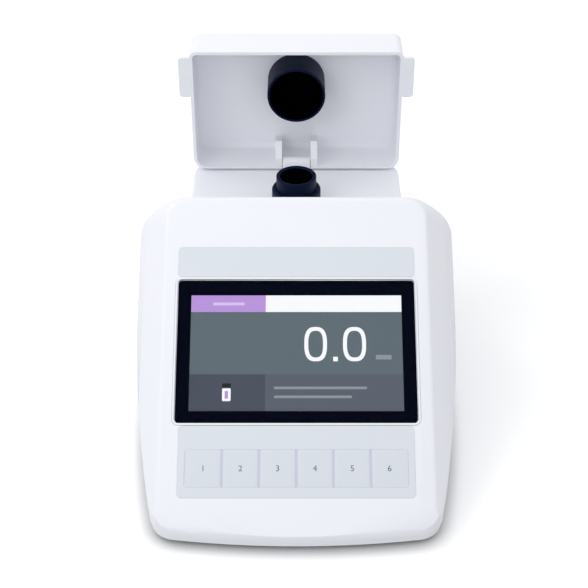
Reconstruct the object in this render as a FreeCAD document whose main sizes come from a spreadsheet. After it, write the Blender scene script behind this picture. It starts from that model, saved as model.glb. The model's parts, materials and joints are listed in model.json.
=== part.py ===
import FreeCAD, Part
import Sketcher
import math
import os
import re

# Benchtop turbidity meter: a wedge housing with a sloping panel, a display and six keys, and behind
# the ridge a low deck with the sample well under a flip lid.
# Millimetres. +Z is up, the front faces -Y, the origin is under the middle of the whole outline.

os.makedirs("parts", exist_ok=True)
doc = FreeCAD.newDocument("turbidity_meter")
Vector = FreeCAD.Vector
X_AXIS = Vector(1, 0, 0)
Y_AXIS = Vector(0, 1, 0)
Z_AXIS = Vector(0, 0, 1)

# Driving dimensions: name, value, meaning
SIZES = [
    # Housing
    ("body_width", 240.6, "widest part of the housing"),
    ("side_arc_radius", 700, "plan radius of the bowed sides"),
    ("widest_setback", 175, "front lip to the widest place"),
    ("front_bow_radius", 620, "plan radius of the bowed front"),
    ("front_corner_radius", 20, "plan radius of the front corners"),
    ("rear_corner_radius", 18, "plan radius of the rear corners"),
    ("foot_height", 4.5, "gap between the table and the tray"),
    ("tray_height", 6, "height of the lower tray"),
    ("lip_rise", 4.3, "front face of the shell above the tray"),
    ("wall", 2.6, "wall of the mouldings"),
    ("edge_round", 2, "rounding of the outer edges"),
    ("panel_tilt", 36, "slope of the panel in degrees"),
    ("panel_length", 252.8, "lip to ridge along the slope"),
    ("panel_width", 194, "flat panel between its creases"),
    ("crease_soft", 2, "half width of the softened crease"),
    ("flank_share", 0.6, "45 degree part of the width outside the panel"),
    ("chin_round", 5, "rounding from the front face into the chin"),
    ("chin_slope", 50, "steepness of the chin in degrees"),
    ("ridge_corner_radius", 15, "panel corner radius at the ridge"),
    ("crest_depth", 3, "flat top of the ridge"),
    ("deck_drop", 33.4, "ridge down to the deck"),
    ("shoulder_width", 35.8, "widest half beyond the deck and the lid"),
    ("turret_corner_radius", 12, "rear corner radius of deck and lid"),
    ("shoulder_drop", 62, "ridge down to the rear shoulder"),
    ("shoulder_tilt", 10, "fall of the rear shoulder in degrees"),
    ("rear_margin", 2.5, "housing behind the closed lid"),
    # Panel
    ("overlay_width", 167, "film with the keys"),
    ("header_width", 174, "film above the display"),
    ("overlay_start", 27.1, "lip to the film"),
    ("overlay_length", 186.7, "both films and the display along the slope"),
    ("overlay_thick", 0.5, "film thickness"),
    ("overlay_sunk", 0.3, "depth of the film's seat"),
    ("overlay_radius", 3, "film corner radius"),
    ("window_width", 174, "glass over the display"),
    ("window_length", 107.9, "glass along the slope"),
    ("window_start", 80.6, "lip to the glass"),
    ("window_thick", 1.5, "glass thickness"),
    ("window_radius", 3, "glass corner radius"),
    ("window_seat", 1.8, "depth of the glass seat"),
    ("rim_width", 1.5, "rim round the glass"),
    ("rim_proud", 0.5, "rim above the panel"),
    ("slide_gap", 0.2, "gap round inlaid pieces"),
    ("display_width", 154.2, "lit area of the display"),
    ("display_length", 87.5, "lit area along the slope"),
    ("lcd_margin", 6, "border round the lit area"),
    ("lcd_thick", 5.5, "display module"),
    ("bracket_thick", 1.2, "sheet behind the display"),
    ("bracket_reach", 7, "bracket beyond the display module"),
    # Keys
    ("key_margin", 4.9, "film beside the outer keys"),
    ("key_gap", 0.5, "gap between key caps"),
    ("key_length", 26.2, "key along the slope"),
    ("key_start", 34.8, "lip to the keys"),
    ("key_thick", 1.6, "key cap plate"),
    ("key_proud", 0.3, "key cap above the film"),
    ("key_travel", 0.4, "key stroke"),
    ("key_radius", 1.5, "key cap corner radius"),
    ("key_stem_radius", 3.5, "key stem"),
    ("key_stem_length", 5, "stem below the cap"),
    ("key_slack", 0.1, "rest gap above the stroke"),
    ("key_board_end", 13.35, "key board beyond the middle of an outer key"),
    ("stem_play", 0.4, "radial gap round a stem"),
    ("switch_size", 8, "tactile switch body"),
    ("switch_height", 3.4, "tactile switch body height"),
    ("board_thick", 1.6, "circuit boards"),
    # Lid and hinge
    ("lid_length", 106, "lid front to back"),
    ("lid_height", 38.5, "lid rim to top"),
    ("lid_front_gap", 1, "closed lid to ridge"),
    ("lid_deck_gap", 1, "rim above the deck"),
    ("lid_front_radius", 6, "front corner radius of the lid"),
    ("lid_top_round", 4, "rounding round the lid's top"),
    ("lid_inner_round", 5, "rounding between the lid's roof and its walls"),
    ("lid_rear_chamfer", 2.2, "bevel on the lid's rear rim"),
    ("hinge_inset", 5, "lid rear face to hinge axis"),
    ("hinge_height", 5, "lid rim to hinge axis"),
    ("open_angle", 90, "lid opening in degrees"),
    ("knuckle_width", 22.6, "hinge block between the lid's arms"),
    ("knuckle_radius", 4.5, "hinge block round its pin"),
    ("arm_gap", 0.5, "hinge block to each arm"),
    ("arm_thick", 5.5, "hinge arm in the lid"),
    ("arm_reach", 22, "hinge arm along the lid"),
    ("arm_slope", 9, "fall of the arm's end towards the lid's roof"),
    ("notch_rise", 6, "rear notch above the hinge axis"),
    ("pin_radius", 2, "hinge pin"),
    ("pin_play", 0.06, "radial running gap of the pin"),
    ("tab_reach", 8.8, "finger tab beyond the lid's side"),
    ("tab_length", 34, "finger tab along the lid"),
    ("tab_thick", 4, "finger tab"),
    ("tab_radius", 3, "finger tab corner radius"),
    ("tab_setback", 79, "hinge axis to the tabs' middle"),
    ("bumper_gap", 0.1, "bumper to the lid's rim"),
    # Sample port and optics
    ("port_setback", 60, "hinge axis to the well's axis"),
    ("vial_bore", 25.5, "bore of the sample well"),
    ("well_outer", 31.4, "collar of the sample well"),
    ("well_rise", 28, "collar above the deck"),
    ("well_depth", 62, "bore depth"),
    ("well_floor", 2, "bottom of the well"),
    ("liner_outer", 29, "well inside the block"),
    ("ring_outer", 38.3, "ring round the collar"),
    ("ring_rise", 17, "ring above the deck"),
    ("fit_gap", 0.1, "radial gap of seated rounds"),
    ("tube_outer", 46.7, "light shield tube"),
    ("tube_wall", 1.9, "light shield tube wall"),
    ("tube_inset", 6, "tube mouth inside the lid's rim"),
    ("tube_end", 2, "closed end of the tube"),
    ("block_width", 64, "optical block across"),
    ("block_height", 48, "optical block height"),
    ("beam_height", 14, "beam above the well's floor"),
    ("beam_radius", 4, "light path"),
    ("cartridge_radius", 8, "lamp and detector holders"),
    ("cartridge_depth", 13, "holder inside the block"),
    ("cartridge_flange", 11, "radius of a holder's flange"),
    ("flange_thick", 3, "holder's flange"),
    ("post_radius", 4, "posts under the block"),
    ("post_inset", 8, "post axis to the block's side"),
    ("spigot_radius", 2.5, "post end in the block"),
    ("spigot_length", 8, "post end in the block"),
    # Fasteners and feet
    ("screw_radius", 1.5, "small screws"),
    ("screw_length", 9, "small screws below the head"),
    ("head_radius", 2.8, "screw heads"),
    ("head_height", 2.1, "screw heads"),
    ("screw_play", 0.05, "radial gap round a screw"),
    ("boss_radius", 4, "screw bosses"),
    ("pad_radius", 6, "screw pads of the tray"),
    ("pad_rise", 2.4, "screw pads above the tray's floor"),
    ("sink_depth", 2.5, "screw recess in the tray"),
    ("boss_inset", 30, "housing side to a screw boss"),
    ("front_boss_setback", 45, "front lip to the front bosses"),
    ("rear_boss_setback", 28, "rear face to the rear bosses"),
    ("foot_radius", 9, "rubber feet"),
    ("foot_sunk", 1, "foot's seat in the tray"),
    ("foot_inset", 46, "housing side to a foot"),
    ("front_foot_setback", 30, "front lip to the front feet"),
    ("rear_foot_setback", 30, "rear face to the rear feet"),
    ("tray_inset", 1.2, "tray inside the shell's outline"),
    ("lip_gap", 0.2, "locating lip to the shell"),
    ("lip_thick", 1.6, "locating lip"),
    ("lip_height", 3, "locating lip above the parting line"),
    ("lip_setback", 32, "front lip to the start of the locating lip"),
    # Main board
    ("main_width", 150, "main board across"),
    ("main_length", 100, "main board front to back"),
    ("main_setback", 78, "front lip to the main board"),
    ("spacer_height", 8, "spacers under the main board"),
    ("spacer_radius", 3, "spacers under the main board"),
    ("hole_inset", 6, "board edge to its screws"),
    ("header_depth", 6, "board headers front to back"),
    ("header_height", 7, "board headers"),
    ("header_inset", 12, "board's front edge to the front headers"),
    ("header_offset", 40, "front headers from the middle"),
    ("chip_size", 16, "processor"),
    ("chip_thick", 1.4, "processor"),
    ("can_radius", 4, "capacitors"),
    ("can_height", 10, "capacitors"),
    ("can_offset", 50, "capacitors from the middle"),
    ("can_pitch", 14, "capacitor to capacitor"),
    # Rear sockets
    ("socket_height", 30, "table to the sockets' axis"),
    ("jack_offset", -62, "power jack from the middle"),
    ("jack_size", 12, "power jack body"),
    ("jack_depth", 13, "power jack body depth"),
    ("jack_bore", 6.4, "power jack opening"),
    ("jack_pin", 2, "power jack centre pin"),
    ("usb_offset", -28, "data socket from the middle"),
    ("usb_width", 12, "data socket across"),
    ("usb_height", 11, "data socket height"),
    ("usb_depth", 16, "data socket depth"),
    ("usb_wall", 0.8, "data socket shell"),
    ("switch_offset", 55, "power switch from the middle"),
    ("bezel_width", 15, "power switch bezel across"),
    ("bezel_height", 21, "power switch bezel height"),
    ("bezel_thick", 2, "power switch bezel"),
    ("bezel_margin", 1.2, "bezel beyond the switch body"),
    ("switch_depth", 15, "power switch behind the wall"),
    ("rocker_width", 8, "rocker across"),
    ("rocker_length", 14, "rocker height"),
    ("rocker_pivot_depth", 4, "rocker axis behind the bezel's face"),
    ("rocker_tilt", 8, "rocker from level to either side"),
    ("rocker_gap", 0.5, "gap round the rocker"),
    ("rear_board_height", 34, "board behind the sockets"),
    ("ribbon_thick", 0.4, "flat ribbon"),
    ("ribbon_width", 30, "flat ribbon"),
]

# Places worked out from the driving dimensions
PLACES = [
    ("lip_z", "foot_height + tray_height + lip_rise"),
    ("flank_drop", "flank_share * (body_width - panel_width) / 2"),
    ("turret_width", "body_width - 2 * shoulder_width"),
    ("parting_z", "foot_height + tray_height"),
    ("floor_z", "foot_height + wall"),
    ("ridge_run", "panel_length * cos(panel_tilt)"),
    ("ridge_z", "lip_z + panel_length * sin(panel_tilt)"),
    ("deck_z", "ridge_z - deck_drop"),
    ("shoulder_z", "ridge_z - shoulder_drop"),
    ("crest_run", "ridge_run + crest_depth"),
    ("hinge_run", "crest_run + lid_front_gap + lid_length - hinge_inset"),
    ("rear_run", "hinge_run + hinge_inset + rear_margin"),
    ("back_run", "hinge_run + (lid_height - hinge_height) * sin(open_angle)"
                 " + hinge_inset * cos(open_angle)"),
    ("front_y", "-back_run / 2"),
    ("ridge_y", "front_y + ridge_run"),
    ("crest_y", "front_y + crest_run"),
    ("hinge_y", "front_y + hinge_run"),
    ("hinge_z", "deck_z + lid_deck_gap + hinge_height"),
    ("rear_y", "front_y + rear_run"),
    ("widest_y", "front_y + widest_setback"),
    ("port_y", "hinge_y - port_setback"),
    ("well_top_z", "deck_z + well_rise"),
    ("well_floor_z", "well_top_z - well_depth"),
    ("beam_z", "well_floor_z + beam_height"),
    ("block_top_z", "deck_z - wall"),
    ("block_z", "block_top_z - block_height"),
    ("seat_n", "overlay_thick - overlay_sunk"),
    ("key_pitch", "(overlay_width - 2 * key_margin) / 6"),
    ("cap_n", "seat_n + key_proud"),
    ("key_floor_n", "cap_n - key_thick - key_travel - slide_gap"),
    ("switch_top_n", "cap_n - key_thick - key_stem_length - key_travel - key_slack"),
    ("key_board_n", "switch_top_n - switch_height - board_thick"),
    ("key_middle_s", "key_start + key_length / 2"),
    ("window_middle_s", "window_start + window_length / 2"),
    ("panel_wall", "window_seat + 1.2"),
    ("lcd_width", "display_width + 2 * lcd_margin"),
    ("lcd_length", "display_length + 2 * lcd_margin"),
    ("lcd_n", "-panel_wall - lcd_thick"),
    ("bracket_n", "lcd_n - bracket_thick"),
    ("board_z", "floor_z + spacer_height"),
    ("board_top_z", "board_z + board_thick"),
    ("main_y", "front_y + main_setback + main_length / 2"),
    ("header_y", "front_y + main_setback + header_inset"),
    ("pad_z", "floor_z + pad_rise"),
    ("boss_x", "body_width / 2 - boss_inset"),
    ("foot_x", "body_width / 2 - foot_inset"),
    ("arm_x", "knuckle_width / 2 + arm_gap"),
    ("rear_in_y", "rear_y - wall"),
    ("jack_back_y", "rear_in_y - jack_depth"),
]

SIZE_NAMES = [name for name, number, meaning in SIZES]
PLACE_NAMES = [name for name, rule in PLACES]
WORD = re.compile(r"[a-z][a-z_]*[a-z]")


def formula(text):
    """An expression in which every named dimension is led by the sheet that holds it."""
    def lead(match):
        word = match.group(0)
        if word in SIZE_NAMES:
            return "sizes." + word
        if word in PLACE_NAMES:
            return "places." + word
        return word
    return WORD.sub(lead, str(text))


sizes = doc.addObject("Spreadsheet::Sheet", "sizes")
for row, (name, number, meaning) in enumerate(SIZES, start=1):
    sizes.set("A%d" % row, name)
    sizes.set("B%d" % row, str(number))
    sizes.set("C%d" % row, meaning)
    sizes.setAlias("B%d" % row, name)
doc.recompute()

places = doc.addObject("Spreadsheet::Sheet", "places")
for row, (name, rule) in enumerate(PLACES, start=1):
    places.set("A%d" % row, name)
    places.setAlias("B%d" % row, name)
    places.set("B%d" % row, "=" + formula(rule).replace("places.", ""))
doc.recompute()


def value(text):
    """The present number behind an expression."""
    return float(places.evalExpression(formula(text).replace("places.", "")))


def bind(thing, **settings):
    """Ties properties to expressions; a double underscore stands for the dot of a path."""
    for path, text in settings.items():
        thing.setExpression(path.replace("__", "."), formula(text))


# Placing: world coordinates, or (across, up the slope, out of the panel) from the lip's middle
def place(thing, x, y, z, axis=None, angle=0):
    """Puts a piece at (x, y, z), turned by an angle round an axis."""
    thing.Placement = FreeCAD.Placement(Vector(), FreeCAD.Rotation(axis or Z_AXIS, 0.001))
    bind(thing, Placement__Base__x=x, Placement__Base__y=y, Placement__Base__z=z)
    bind(thing, Placement__Rotation__Angle=angle)
    return thing


def on_panel(thing, across, along, out):
    """Puts a piece in the panel's own frame: its Z becomes the panel's outward normal."""
    y = "front_y + (%s) * cos(panel_tilt) - (%s) * sin(panel_tilt)" % (along, out)
    z = "lip_z + (%s) * sin(panel_tilt) + (%s) * cos(panel_tilt)" % (along, out)
    return place(thing, across, y, z, X_AXIS, "panel_tilt")


# Part primitives and booleans
def box(name, width, length, height):
    """A box centred on its own Z axis, standing on its own XY plane."""
    solid = doc.addObject("Part::Box", name + "_block")
    bind(solid, Length=width, Width=length, Height=height)
    bind(solid, Placement__Base__x="-(%s) / 2" % width, Placement__Base__y="-(%s) / 2" % length)
    holder = doc.addObject("Part::Compound", name)
    holder.Links = [solid]
    return holder


def rod(name, radius, height):
    """A cylinder standing on its own XY plane."""
    solid = doc.addObject("Part::Cylinder", name)
    bind(solid, Radius=radius, Height=height)
    return solid


def hexagon(name, radius, height):
    """A six-sided post of the given half width across its flats, standing on its own XY plane."""
    solid = doc.addObject("Part::Prism", name)
    solid.Polygon = 6
    bind(solid, Circumradius="(%s) / cos(30)" % radius, Height=height)
    return solid


def cut(name, base, *tools):
    """The base less every tool."""
    result = doc.addObject("Part::Cut", name)
    result.Base = base
    result.Tool = tools[0] if len(tools) == 1 else fuse(name + "_tools", *tools)
    return result


def fuse(name, *solids):
    """Solids joined into one."""
    result = doc.addObject("Part::MultiFuse", name)
    result.Shapes = list(solids)
    return result


def group(name, solids):
    """Separate like pieces that share one node."""
    result = doc.addObject("Part::Compound", name)
    result.Links = solids
    return result


# Sketches and bodies
def new_body(name):
    return doc.addObject("PartDesign::Body", name)


def new_sketch(body, role, offset=(0, 0, 0), tilt=None):
    """A sketch on one of the body's own planes, moved along and turned about its first axis."""
    sketch = body.newObject("Sketcher::SketchObject", body.Name + "_sketch")
    plane = [plane for plane in body.Origin.OriginFeatures if plane.Role == role][0]
    sketch.AttachmentSupport = [(plane, "")]
    sketch.MapMode = "FlatFace"
    sketch.AttachmentOffset = FreeCAD.Placement(Vector(), FreeCAD.Rotation(X_AXIS, 0.001))
    bind(sketch, AttachmentOffset__Base__x=offset[0], AttachmentOffset__Base__y=offset[1],
         AttachmentOffset__Base__z=offset[2], AttachmentOffset__Rotation__Angle=tilt or "0")
    return sketch


def hold(sketch, kind, geometry, vertex, text):
    """One driving dimension from the sketch's origin to a vertex."""
    number = sketch.addConstraint(Sketcher.Constraint(kind, -1, 1, geometry, vertex, value(text)))
    sketch.setExpression("Constraints[%d]" % number, formula(text))


def loop(sketch, corners):
    """A closed outline. A corner is (x, y), or (x, y, radius, side) when the edge that leaves it is
    an arc whose centre lies to the left (side 1) or to the right (side -1)."""
    first = sketch.GeometryCount
    points = [Vector(value(corner[0]), value(corner[1]), 0) for corner in corners]
    count = len(corners)
    ends = []
    for number, corner in enumerate(corners):
        start = points[number]
        stop = points[(number + 1) % count]
        if len(corner) == 2:
            sketch.addGeometry(Part.LineSegment(start, stop))
            ends.append((1, 2))
            continue
        radius = value(corner[2])
        chord = stop - start
        left = Vector(-chord.y, chord.x, 0).normalize() * corner[3]
        centre = (start + stop) * 0.5 + left * math.sqrt(max(radius ** 2 - chord.Length ** 2 / 4, 0))
        low, high = (start, stop) if corner[3] > 0 else (stop, start)
        turn = [math.atan2((end - centre).y, (end - centre).x) for end in (low, high)]
        sketch.addGeometry(Part.ArcOfCircle(Part.Circle(centre, Z_AXIS, radius), turn[0], turn[1]))
        ends.append((1, 2) if corner[3] > 0 else (2, 1))
    for number, corner in enumerate(corners):
        follower = (number + 1) % count
        sketch.addConstraint(Sketcher.Constraint(
            "Coincident", first + number, ends[number][1], first + follower, ends[follower][0]))
    for number, corner in enumerate(corners):
        hold(sketch, "DistanceX", first + number, ends[number][0], corner[0])
        hold(sketch, "DistanceY", first + number, ends[number][0], corner[1])
        if len(corner) > 2:
            radius = Sketcher.Constraint("Radius", first + number, value(corner[2]))
            sketch.setExpression("Constraints[%d]" % sketch.addConstraint(radius), formula(corner[2]))


def ring(sketch, x, y, radius):
    """A full circle."""
    number = sketch.addGeometry(Part.Circle(Vector(value(x), value(y), 0), Z_AXIS, value(radius)))
    hold(sketch, "DistanceX", number, 3, x)
    hold(sketch, "DistanceY", number, 3, y)
    size = sketch.addConstraint(Sketcher.Constraint("Radius", number, value(radius)))
    sketch.setExpression("Constraints[%d]" % size, formula(radius))


def rounded(sketch, x, y, width, length, radius):
    """A rectangle with rounded corners, centred on (x, y)."""
    left, right = "(%s) - (%s) / 2" % (x, width), "(%s) + (%s) / 2" % (x, width)
    low, high = "(%s) - (%s) / 2" % (y, length), "(%s) + (%s) / 2" % (y, length)
    loop(sketch, [
        (left + " + (%s)" % radius, low),
        (right + " - (%s)" % radius, low, radius, 1),
        (right, low + " + (%s)" % radius),
        (right, high + " - (%s)" % radius, radius, 1),
        (right + " - (%s)" % radius, high),
        (left + " + (%s)" % radius, high, radius, 1),
        (left, high + " - (%s)" % radius),
        (left, low + " + (%s)" % radius, radius, 1),
    ])


def pad(sketch, length, backwards=False):
    """Material from the sketch."""
    body = sketch.getParentGeoFeatureGroup()
    feature = body.newObject("PartDesign::Pad", body.Name + "_pad")
    feature.Profile = sketch
    feature.Reversed = backwards
    bind(feature, Length=length)
    return feature


def pocket(sketch, length, backwards=False, both=False):
    """A recess from the sketch."""
    body = sketch.getParentGeoFeatureGroup()
    before = body.Tip
    doc.recompute()
    feature = body.newObject("PartDesign::Pocket", body.Name + "_pocket")
    feature.Profile = sketch
    feature.Reversed = backwards
    feature.Midplane = both
    bind(feature, Length=length)
    doc.recompute()
    if not feature.Shape.Volume < before.Shape.Volume:
        raise RuntimeError("pocket cuts nothing in " + body.Name)
    return feature


def groove(sketch, angle, backwards=False, both=False):
    """A recess turned about the sketch's own upright axis."""
    body = sketch.getParentGeoFeatureGroup()
    before = body.Tip
    doc.recompute()
    feature = body.newObject("PartDesign::Groove", body.Name + "_groove")
    feature.Profile = sketch
    feature.ReferenceAxis = (sketch, ["V_Axis"])
    feature.Angle = angle
    feature.Reversed = backwards
    feature.Midplane = both
    doc.recompute()
    if not feature.Shape.Volume < before.Shape.Volume:
        raise RuntimeError("groove cuts nothing in " + body.Name)
    return feature


def turned(name, corners):
    """A solid of revolution about Z from a half outline of (radius, height) corners."""
    body = new_body(name)
    sketch = new_sketch(body, "XZ_Plane")
    loop(sketch, corners)
    feature = body.newObject("PartDesign::Revolution", name + "_turn")
    feature.Profile = sketch
    feature.ReferenceAxis = (sketch, ["V_Axis"])
    feature.Angle = 360
    return body


def edges_where(shape, test):
    """Names of the edges whose middle point passes the test."""
    names = []
    for number, edge in enumerate(shape.Edges, start=1):
        middle = edge.valueAt((edge.FirstParameter + edge.LastParameter) / 2)
        if test(middle, edge):
            names.append("Edge%d" % number)
    return names


def fillet(body, radius, test):
    """Rounds the edges that pass the test."""
    doc.recompute()
    base = body.Tip
    names = edges_where(base.Shape, test)
    if not names:
        raise RuntimeError("no edge to round on " + body.Name)
    feature = body.newObject("PartDesign::Fillet", body.Name + "_fillet")
    feature.Base = (base, names)
    bind(feature, Radius=radius)
    return feature


def screw(name, length):
    """A screw with its head below the XY plane and its shank pointing up."""
    return turned(name, [
        ("0", "-head_height"),
        ("head_radius", "-head_height"),
        ("head_radius", "0"),
        ("screw_radius", "0"),
        ("screw_radius", length),
        ("0", length),
    ])


def hole(name, length, play="screw_play"):
    """A round tool for a screw's hole, pointing up from its own XY plane."""
    return rod(name, "screw_radius + " + play, length)


def corners_of(x, low, high):
    """Four mirrored places (across, along)."""
    return [(side + "(%s)" % x, along) for along in (low, high) for side in ("", "-")]


# Housing
def plan_outline(sketch, inset):
    """Bowed sides and front, seen from above. The sides are arcs about centres on the widest line,
    the corners are arcs that run into them."""
    half = "(body_width / 2 - %s)" % inset
    side = "(side_arc_radius - %s)" % inset
    bow = "(front_bow_radius - %s)" % inset
    front = "(front_y + %s)" % inset
    rear = "(rear_y - %s)" % inset
    small = "(front_corner_radius - %s)" % inset
    large = "(rear_corner_radius - %s)" % inset
    flank_x = half + " - " + side
    bow_y = front + " + " + bow
    # A front corner's centre lies inside both arcs by its own radius
    reach = "(%s - %s)" % (side, small)
    depth = "(%s - %s)" % (bow, small)
    dx = value(flank_x)
    dy = value(bow_y) - value("widest_y")
    gap = math.hypot(dx, dy)
    along = (value(reach) ** 2 - value(depth) ** 2 + gap ** 2) / (2 * gap)
    out = math.sqrt(value(reach) ** 2 - along ** 2)
    ux, uy = -dx / gap, dy / gap
    corner = (dx + along * ux + out * uy, value("widest_y") + along * uy - out * ux)
    to_side = Vector(corner[0] - dx, corner[1] - value("widest_y"), 0).normalize()
    to_front = Vector(corner[0], corner[1] - value(bow_y), 0).normalize()
    side_end = (corner[0] + to_side.x * value(small), corner[1] + to_side.y * value(small))
    front_end = (corner[0] + to_front.x * value(small), corner[1] + to_front.y * value(small))
    # A rear corner's centre lies inside the side arc and its own radius before the rear face
    back_y = value(rear) - value(large)
    back_x = dx + math.sqrt((value(side) - value(large)) ** 2 - (back_y - value("widest_y")) ** 2)
    to_back = Vector(back_x - dx, back_y - value("widest_y"), 0).normalize()
    back_end = (back_x + to_back.x * value(large), back_y + to_back.y * value(large))
    loop(sketch, [
        (-front_end[0], front_end[1], bow, 1),
        (front_end[0], front_end[1], small, 1),
        (side_end[0], side_end[1], side, 1),
        (back_end[0], back_end[1], large, 1),
        (back_x, rear),
        (-back_x, rear, large, 1),
        (-back_end[0], back_end[1], side, 1),
        (-side_end[0], side_end[1], small, 1),
    ])


def flank_profile(sketch, side, inset, from_x="0"):
    """What is cut away outside the panel: a softened crease, a 45 degree flank and a round that
    ends upright at the housing's full width."""
    crease = "(panel_width / 2 - %s - %s)" % (inset, from_x)
    lower = "(%s + flank_drop)" % crease
    full = "(body_width / 2 - %s - %s)" % (inset, from_x)
    turn = "((%s - %s) / (1 - cos(45)))" % (full, lower)
    far = "(body_width)"
    corners = [
        ("%s - crease_soft" % crease, "-%s" % inset),
        ("%s + crease_soft * cos(45)" % crease, "-crease_soft * sin(45) - %s" % inset),
        (lower, "-flank_drop - %s" % inset),
        (full, "-flank_drop - %s * sin(45) - %s" % (turn, inset)),
        (far, "-flank_drop - %s * sin(45) - %s" % (turn, inset)),
        (far, "body_width"),
        ("%s - crease_soft" % crease, "body_width"),
    ]
    radii = {0: "crease_soft / tan(22.5)", 2: turn}
    outline = []
    for number, (x, y) in enumerate(corners):
        x = "%d * (%s)" % (side, x)
        outline.append((x, y, radii[number], -side) if number in radii else (x, y))
    loop(sketch, outline)


def housing_form(name, inset):
    """The wedge of the housing: the plan outline, cut by the slope, the deck, the shoulders and the
    flanks. With an inset it is the space inside the walls."""
    body = new_body(name)
    plan = new_sketch(body, "XY_Plane", ("0", "0", "parting_z - %s" % inset))
    plan_outline(plan, inset)
    pad(plan, "ridge_z - parting_z + 10")
    # Everything above the slope, the crest and the deck
    skin = "(%s > 0 ? panel_wall : 0)" % inset
    slope_y = "(front_y + %s * sin(panel_tilt))" % skin
    slope_z = "(lip_z - %s * cos(panel_tilt))" % skin
    top_z = "(ridge_z - %s)" % inset
    top_y = "(%s + (%s - %s) / tan(panel_tilt))" % (slope_y, top_z, slope_z)
    profile = new_sketch(body, "YZ_Plane")
    loop(profile, [
        ("%s - 30" % slope_y, "%s - 30 * tan(panel_tilt)" % slope_z),
        ("%s - crease_soft * cos(panel_tilt)" % top_y,
         "%s - crease_soft * sin(panel_tilt)" % top_z, "crease_soft / tan(panel_tilt / 2)", -1),
        ("%s + crease_soft" % top_y, top_z),
        ("crest_y - %s + 0.5" % inset, top_z),
        ("crest_y - %s + 0.5" % inset, "deck_z - %s" % inset),
        ("rear_y + 30", "deck_z - %s" % inset),
        ("rear_y + 30", "ridge_z + 40"),
        ("%s - 30" % slope_y, "ridge_z + 40"),
    ])
    pocket(profile, "2 * body_width", both=True)
    # The chin: a steeper band that follows the bowed front and widens towards the corners
    chin = new_sketch(body, "YZ_Plane", ("front_y + front_bow_radius", "0", "0"))
    face = "(%s - front_bow_radius)" % inset
    rise = "(chin_round * sin(90 - chin_slope))"
    run = "(chin_round * (1 - cos(90 - chin_slope)))"
    start_z = "(lip_z - %s - 0.3 * %s)" % (inset, rise)
    end_y = "(%s + %s + 30)" % (face, run)
    end_z = "(%s + %s + 30 * tan(chin_slope))" % (start_z, rise)
    loop(chin, [
        (face, start_z),
        ("%s - 30" % face, start_z),
        ("%s - 30" % face, end_z),
        (end_y, end_z),
        ("%s + %s" % (face, run), "%s + %s" % (start_z, rise), "chin_round", 1),
    ])
    groove(chin, 60, both=True)
    for side in (1, -1):
        # The shoulder beside the deck
        edge = "%d * (turret_width / 2 - %s)" % (side, inset)
        step = new_sketch(body, "YZ_Plane", ("0", "0", edge))
        start_y = "(crest_y - %s + 0.5)" % inset
        start_z = "(shoulder_z - %s / cos(shoulder_tilt))" % inset
        loop(step, [
            (start_y, start_z),
            ("rear_y + 30", "%s - (rear_y + 30 - %s) * tan(shoulder_tilt)" % (start_z, start_y)),
            ("rear_y + 30", "ridge_z + 40"),
            (start_y, "ridge_z + 40"),
        ])
        pocket(step, "body_width", backwards=side > 0)
        # The flank beside the panel
        flank = new_sketch(body, "XZ_Plane", ("0", "lip_z", "-front_y"), "panel_tilt")
        flank_profile(flank, side, inset)
        pocket(flank, "3 * panel_length", both=True)
        # The same flank, turned about the panel's corner at the ridge
        pivot_x = "(panel_width / 2 - ridge_corner_radius)"
        pivot_s = "(panel_length - ridge_corner_radius)"
        corner = new_sketch(body, "XZ_Plane", (
            "%d * %s" % (side, pivot_x),
            "lip_z + %s * sin(panel_tilt)" % pivot_s,
            "-front_y - %s * cos(panel_tilt)" % pivot_s), "panel_tilt")
        flank_profile(corner, side, inset, pivot_x)
        groove(corner, 90, backwards=side < 0)
    corner_start = value("rear_y - " + inset) - value("rear_corner_radius")
    fillet(body, "turret_corner_radius - " + inset, lambda p, edge: (
        abs(abs(p.x) - value("turret_width / 2 - " + inset)) < value("slide_gap")
        and p.y > corner_start and p.z < value("deck_z - " + inset) - value("wall")
        and p.z > value("shoulder_z - " + inset) - value("shoulder_drop / 2")))
    return body


def housing_bosses():
    """Screw posts that hang from the shell down to the tray's pads."""
    posts = []
    spots = corners_of("boss_x", "front_y + front_boss_setback", "rear_y - rear_boss_setback")
    for number, (x, y) in enumerate(spots, start=1):
        post = rod("shell_boss_%d" % number, "boss_radius", "ridge_z")
        posts.append(place(post, x, y, "pad_z"))
    return posts, spots


def panel_plate(name, across, along, out, width, length, thick, radius, windows=()):
    """A rounded plate in the panel's frame with rounded openings (x, s, width, length, radius)."""
    body = new_body(name)
    sketch = new_sketch(body, "XY_Plane")
    rounded(sketch, "0", "0", width, length, radius)
    for x, s, w, l, r in windows:
        rounded(sketch, x, "(%s) - (%s)" % (s, along), w, l, r)
    pad(sketch, thick)
    return on_panel(body, across, along, out)


# The two films end short of the display's rim
BELOW_LENGTH = "(window_start - rim_width - 3 * slide_gap - overlay_start)"
ABOVE_START = "(window_start + window_length + rim_width + 3 * slide_gap)"
ABOVE_LENGTH = "(overlay_start + overlay_length - %s)" % ABOVE_START
KEYS_WIDTH = "6 * key_pitch + key_gap"
KEYS_LENGTH = "key_length + 2 * key_gap"
KEY_SPOTS = ["(%g * key_pitch)" % (number - 2.5) for number in range(6)]
LCD_SPOTS = corners_of("lcd_width / 2 + bracket_reach - boss_radius + 1",
                       "window_middle_s - lcd_length / 2 + 10",
                       "window_middle_s + lcd_length / 2 - 10")


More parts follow.
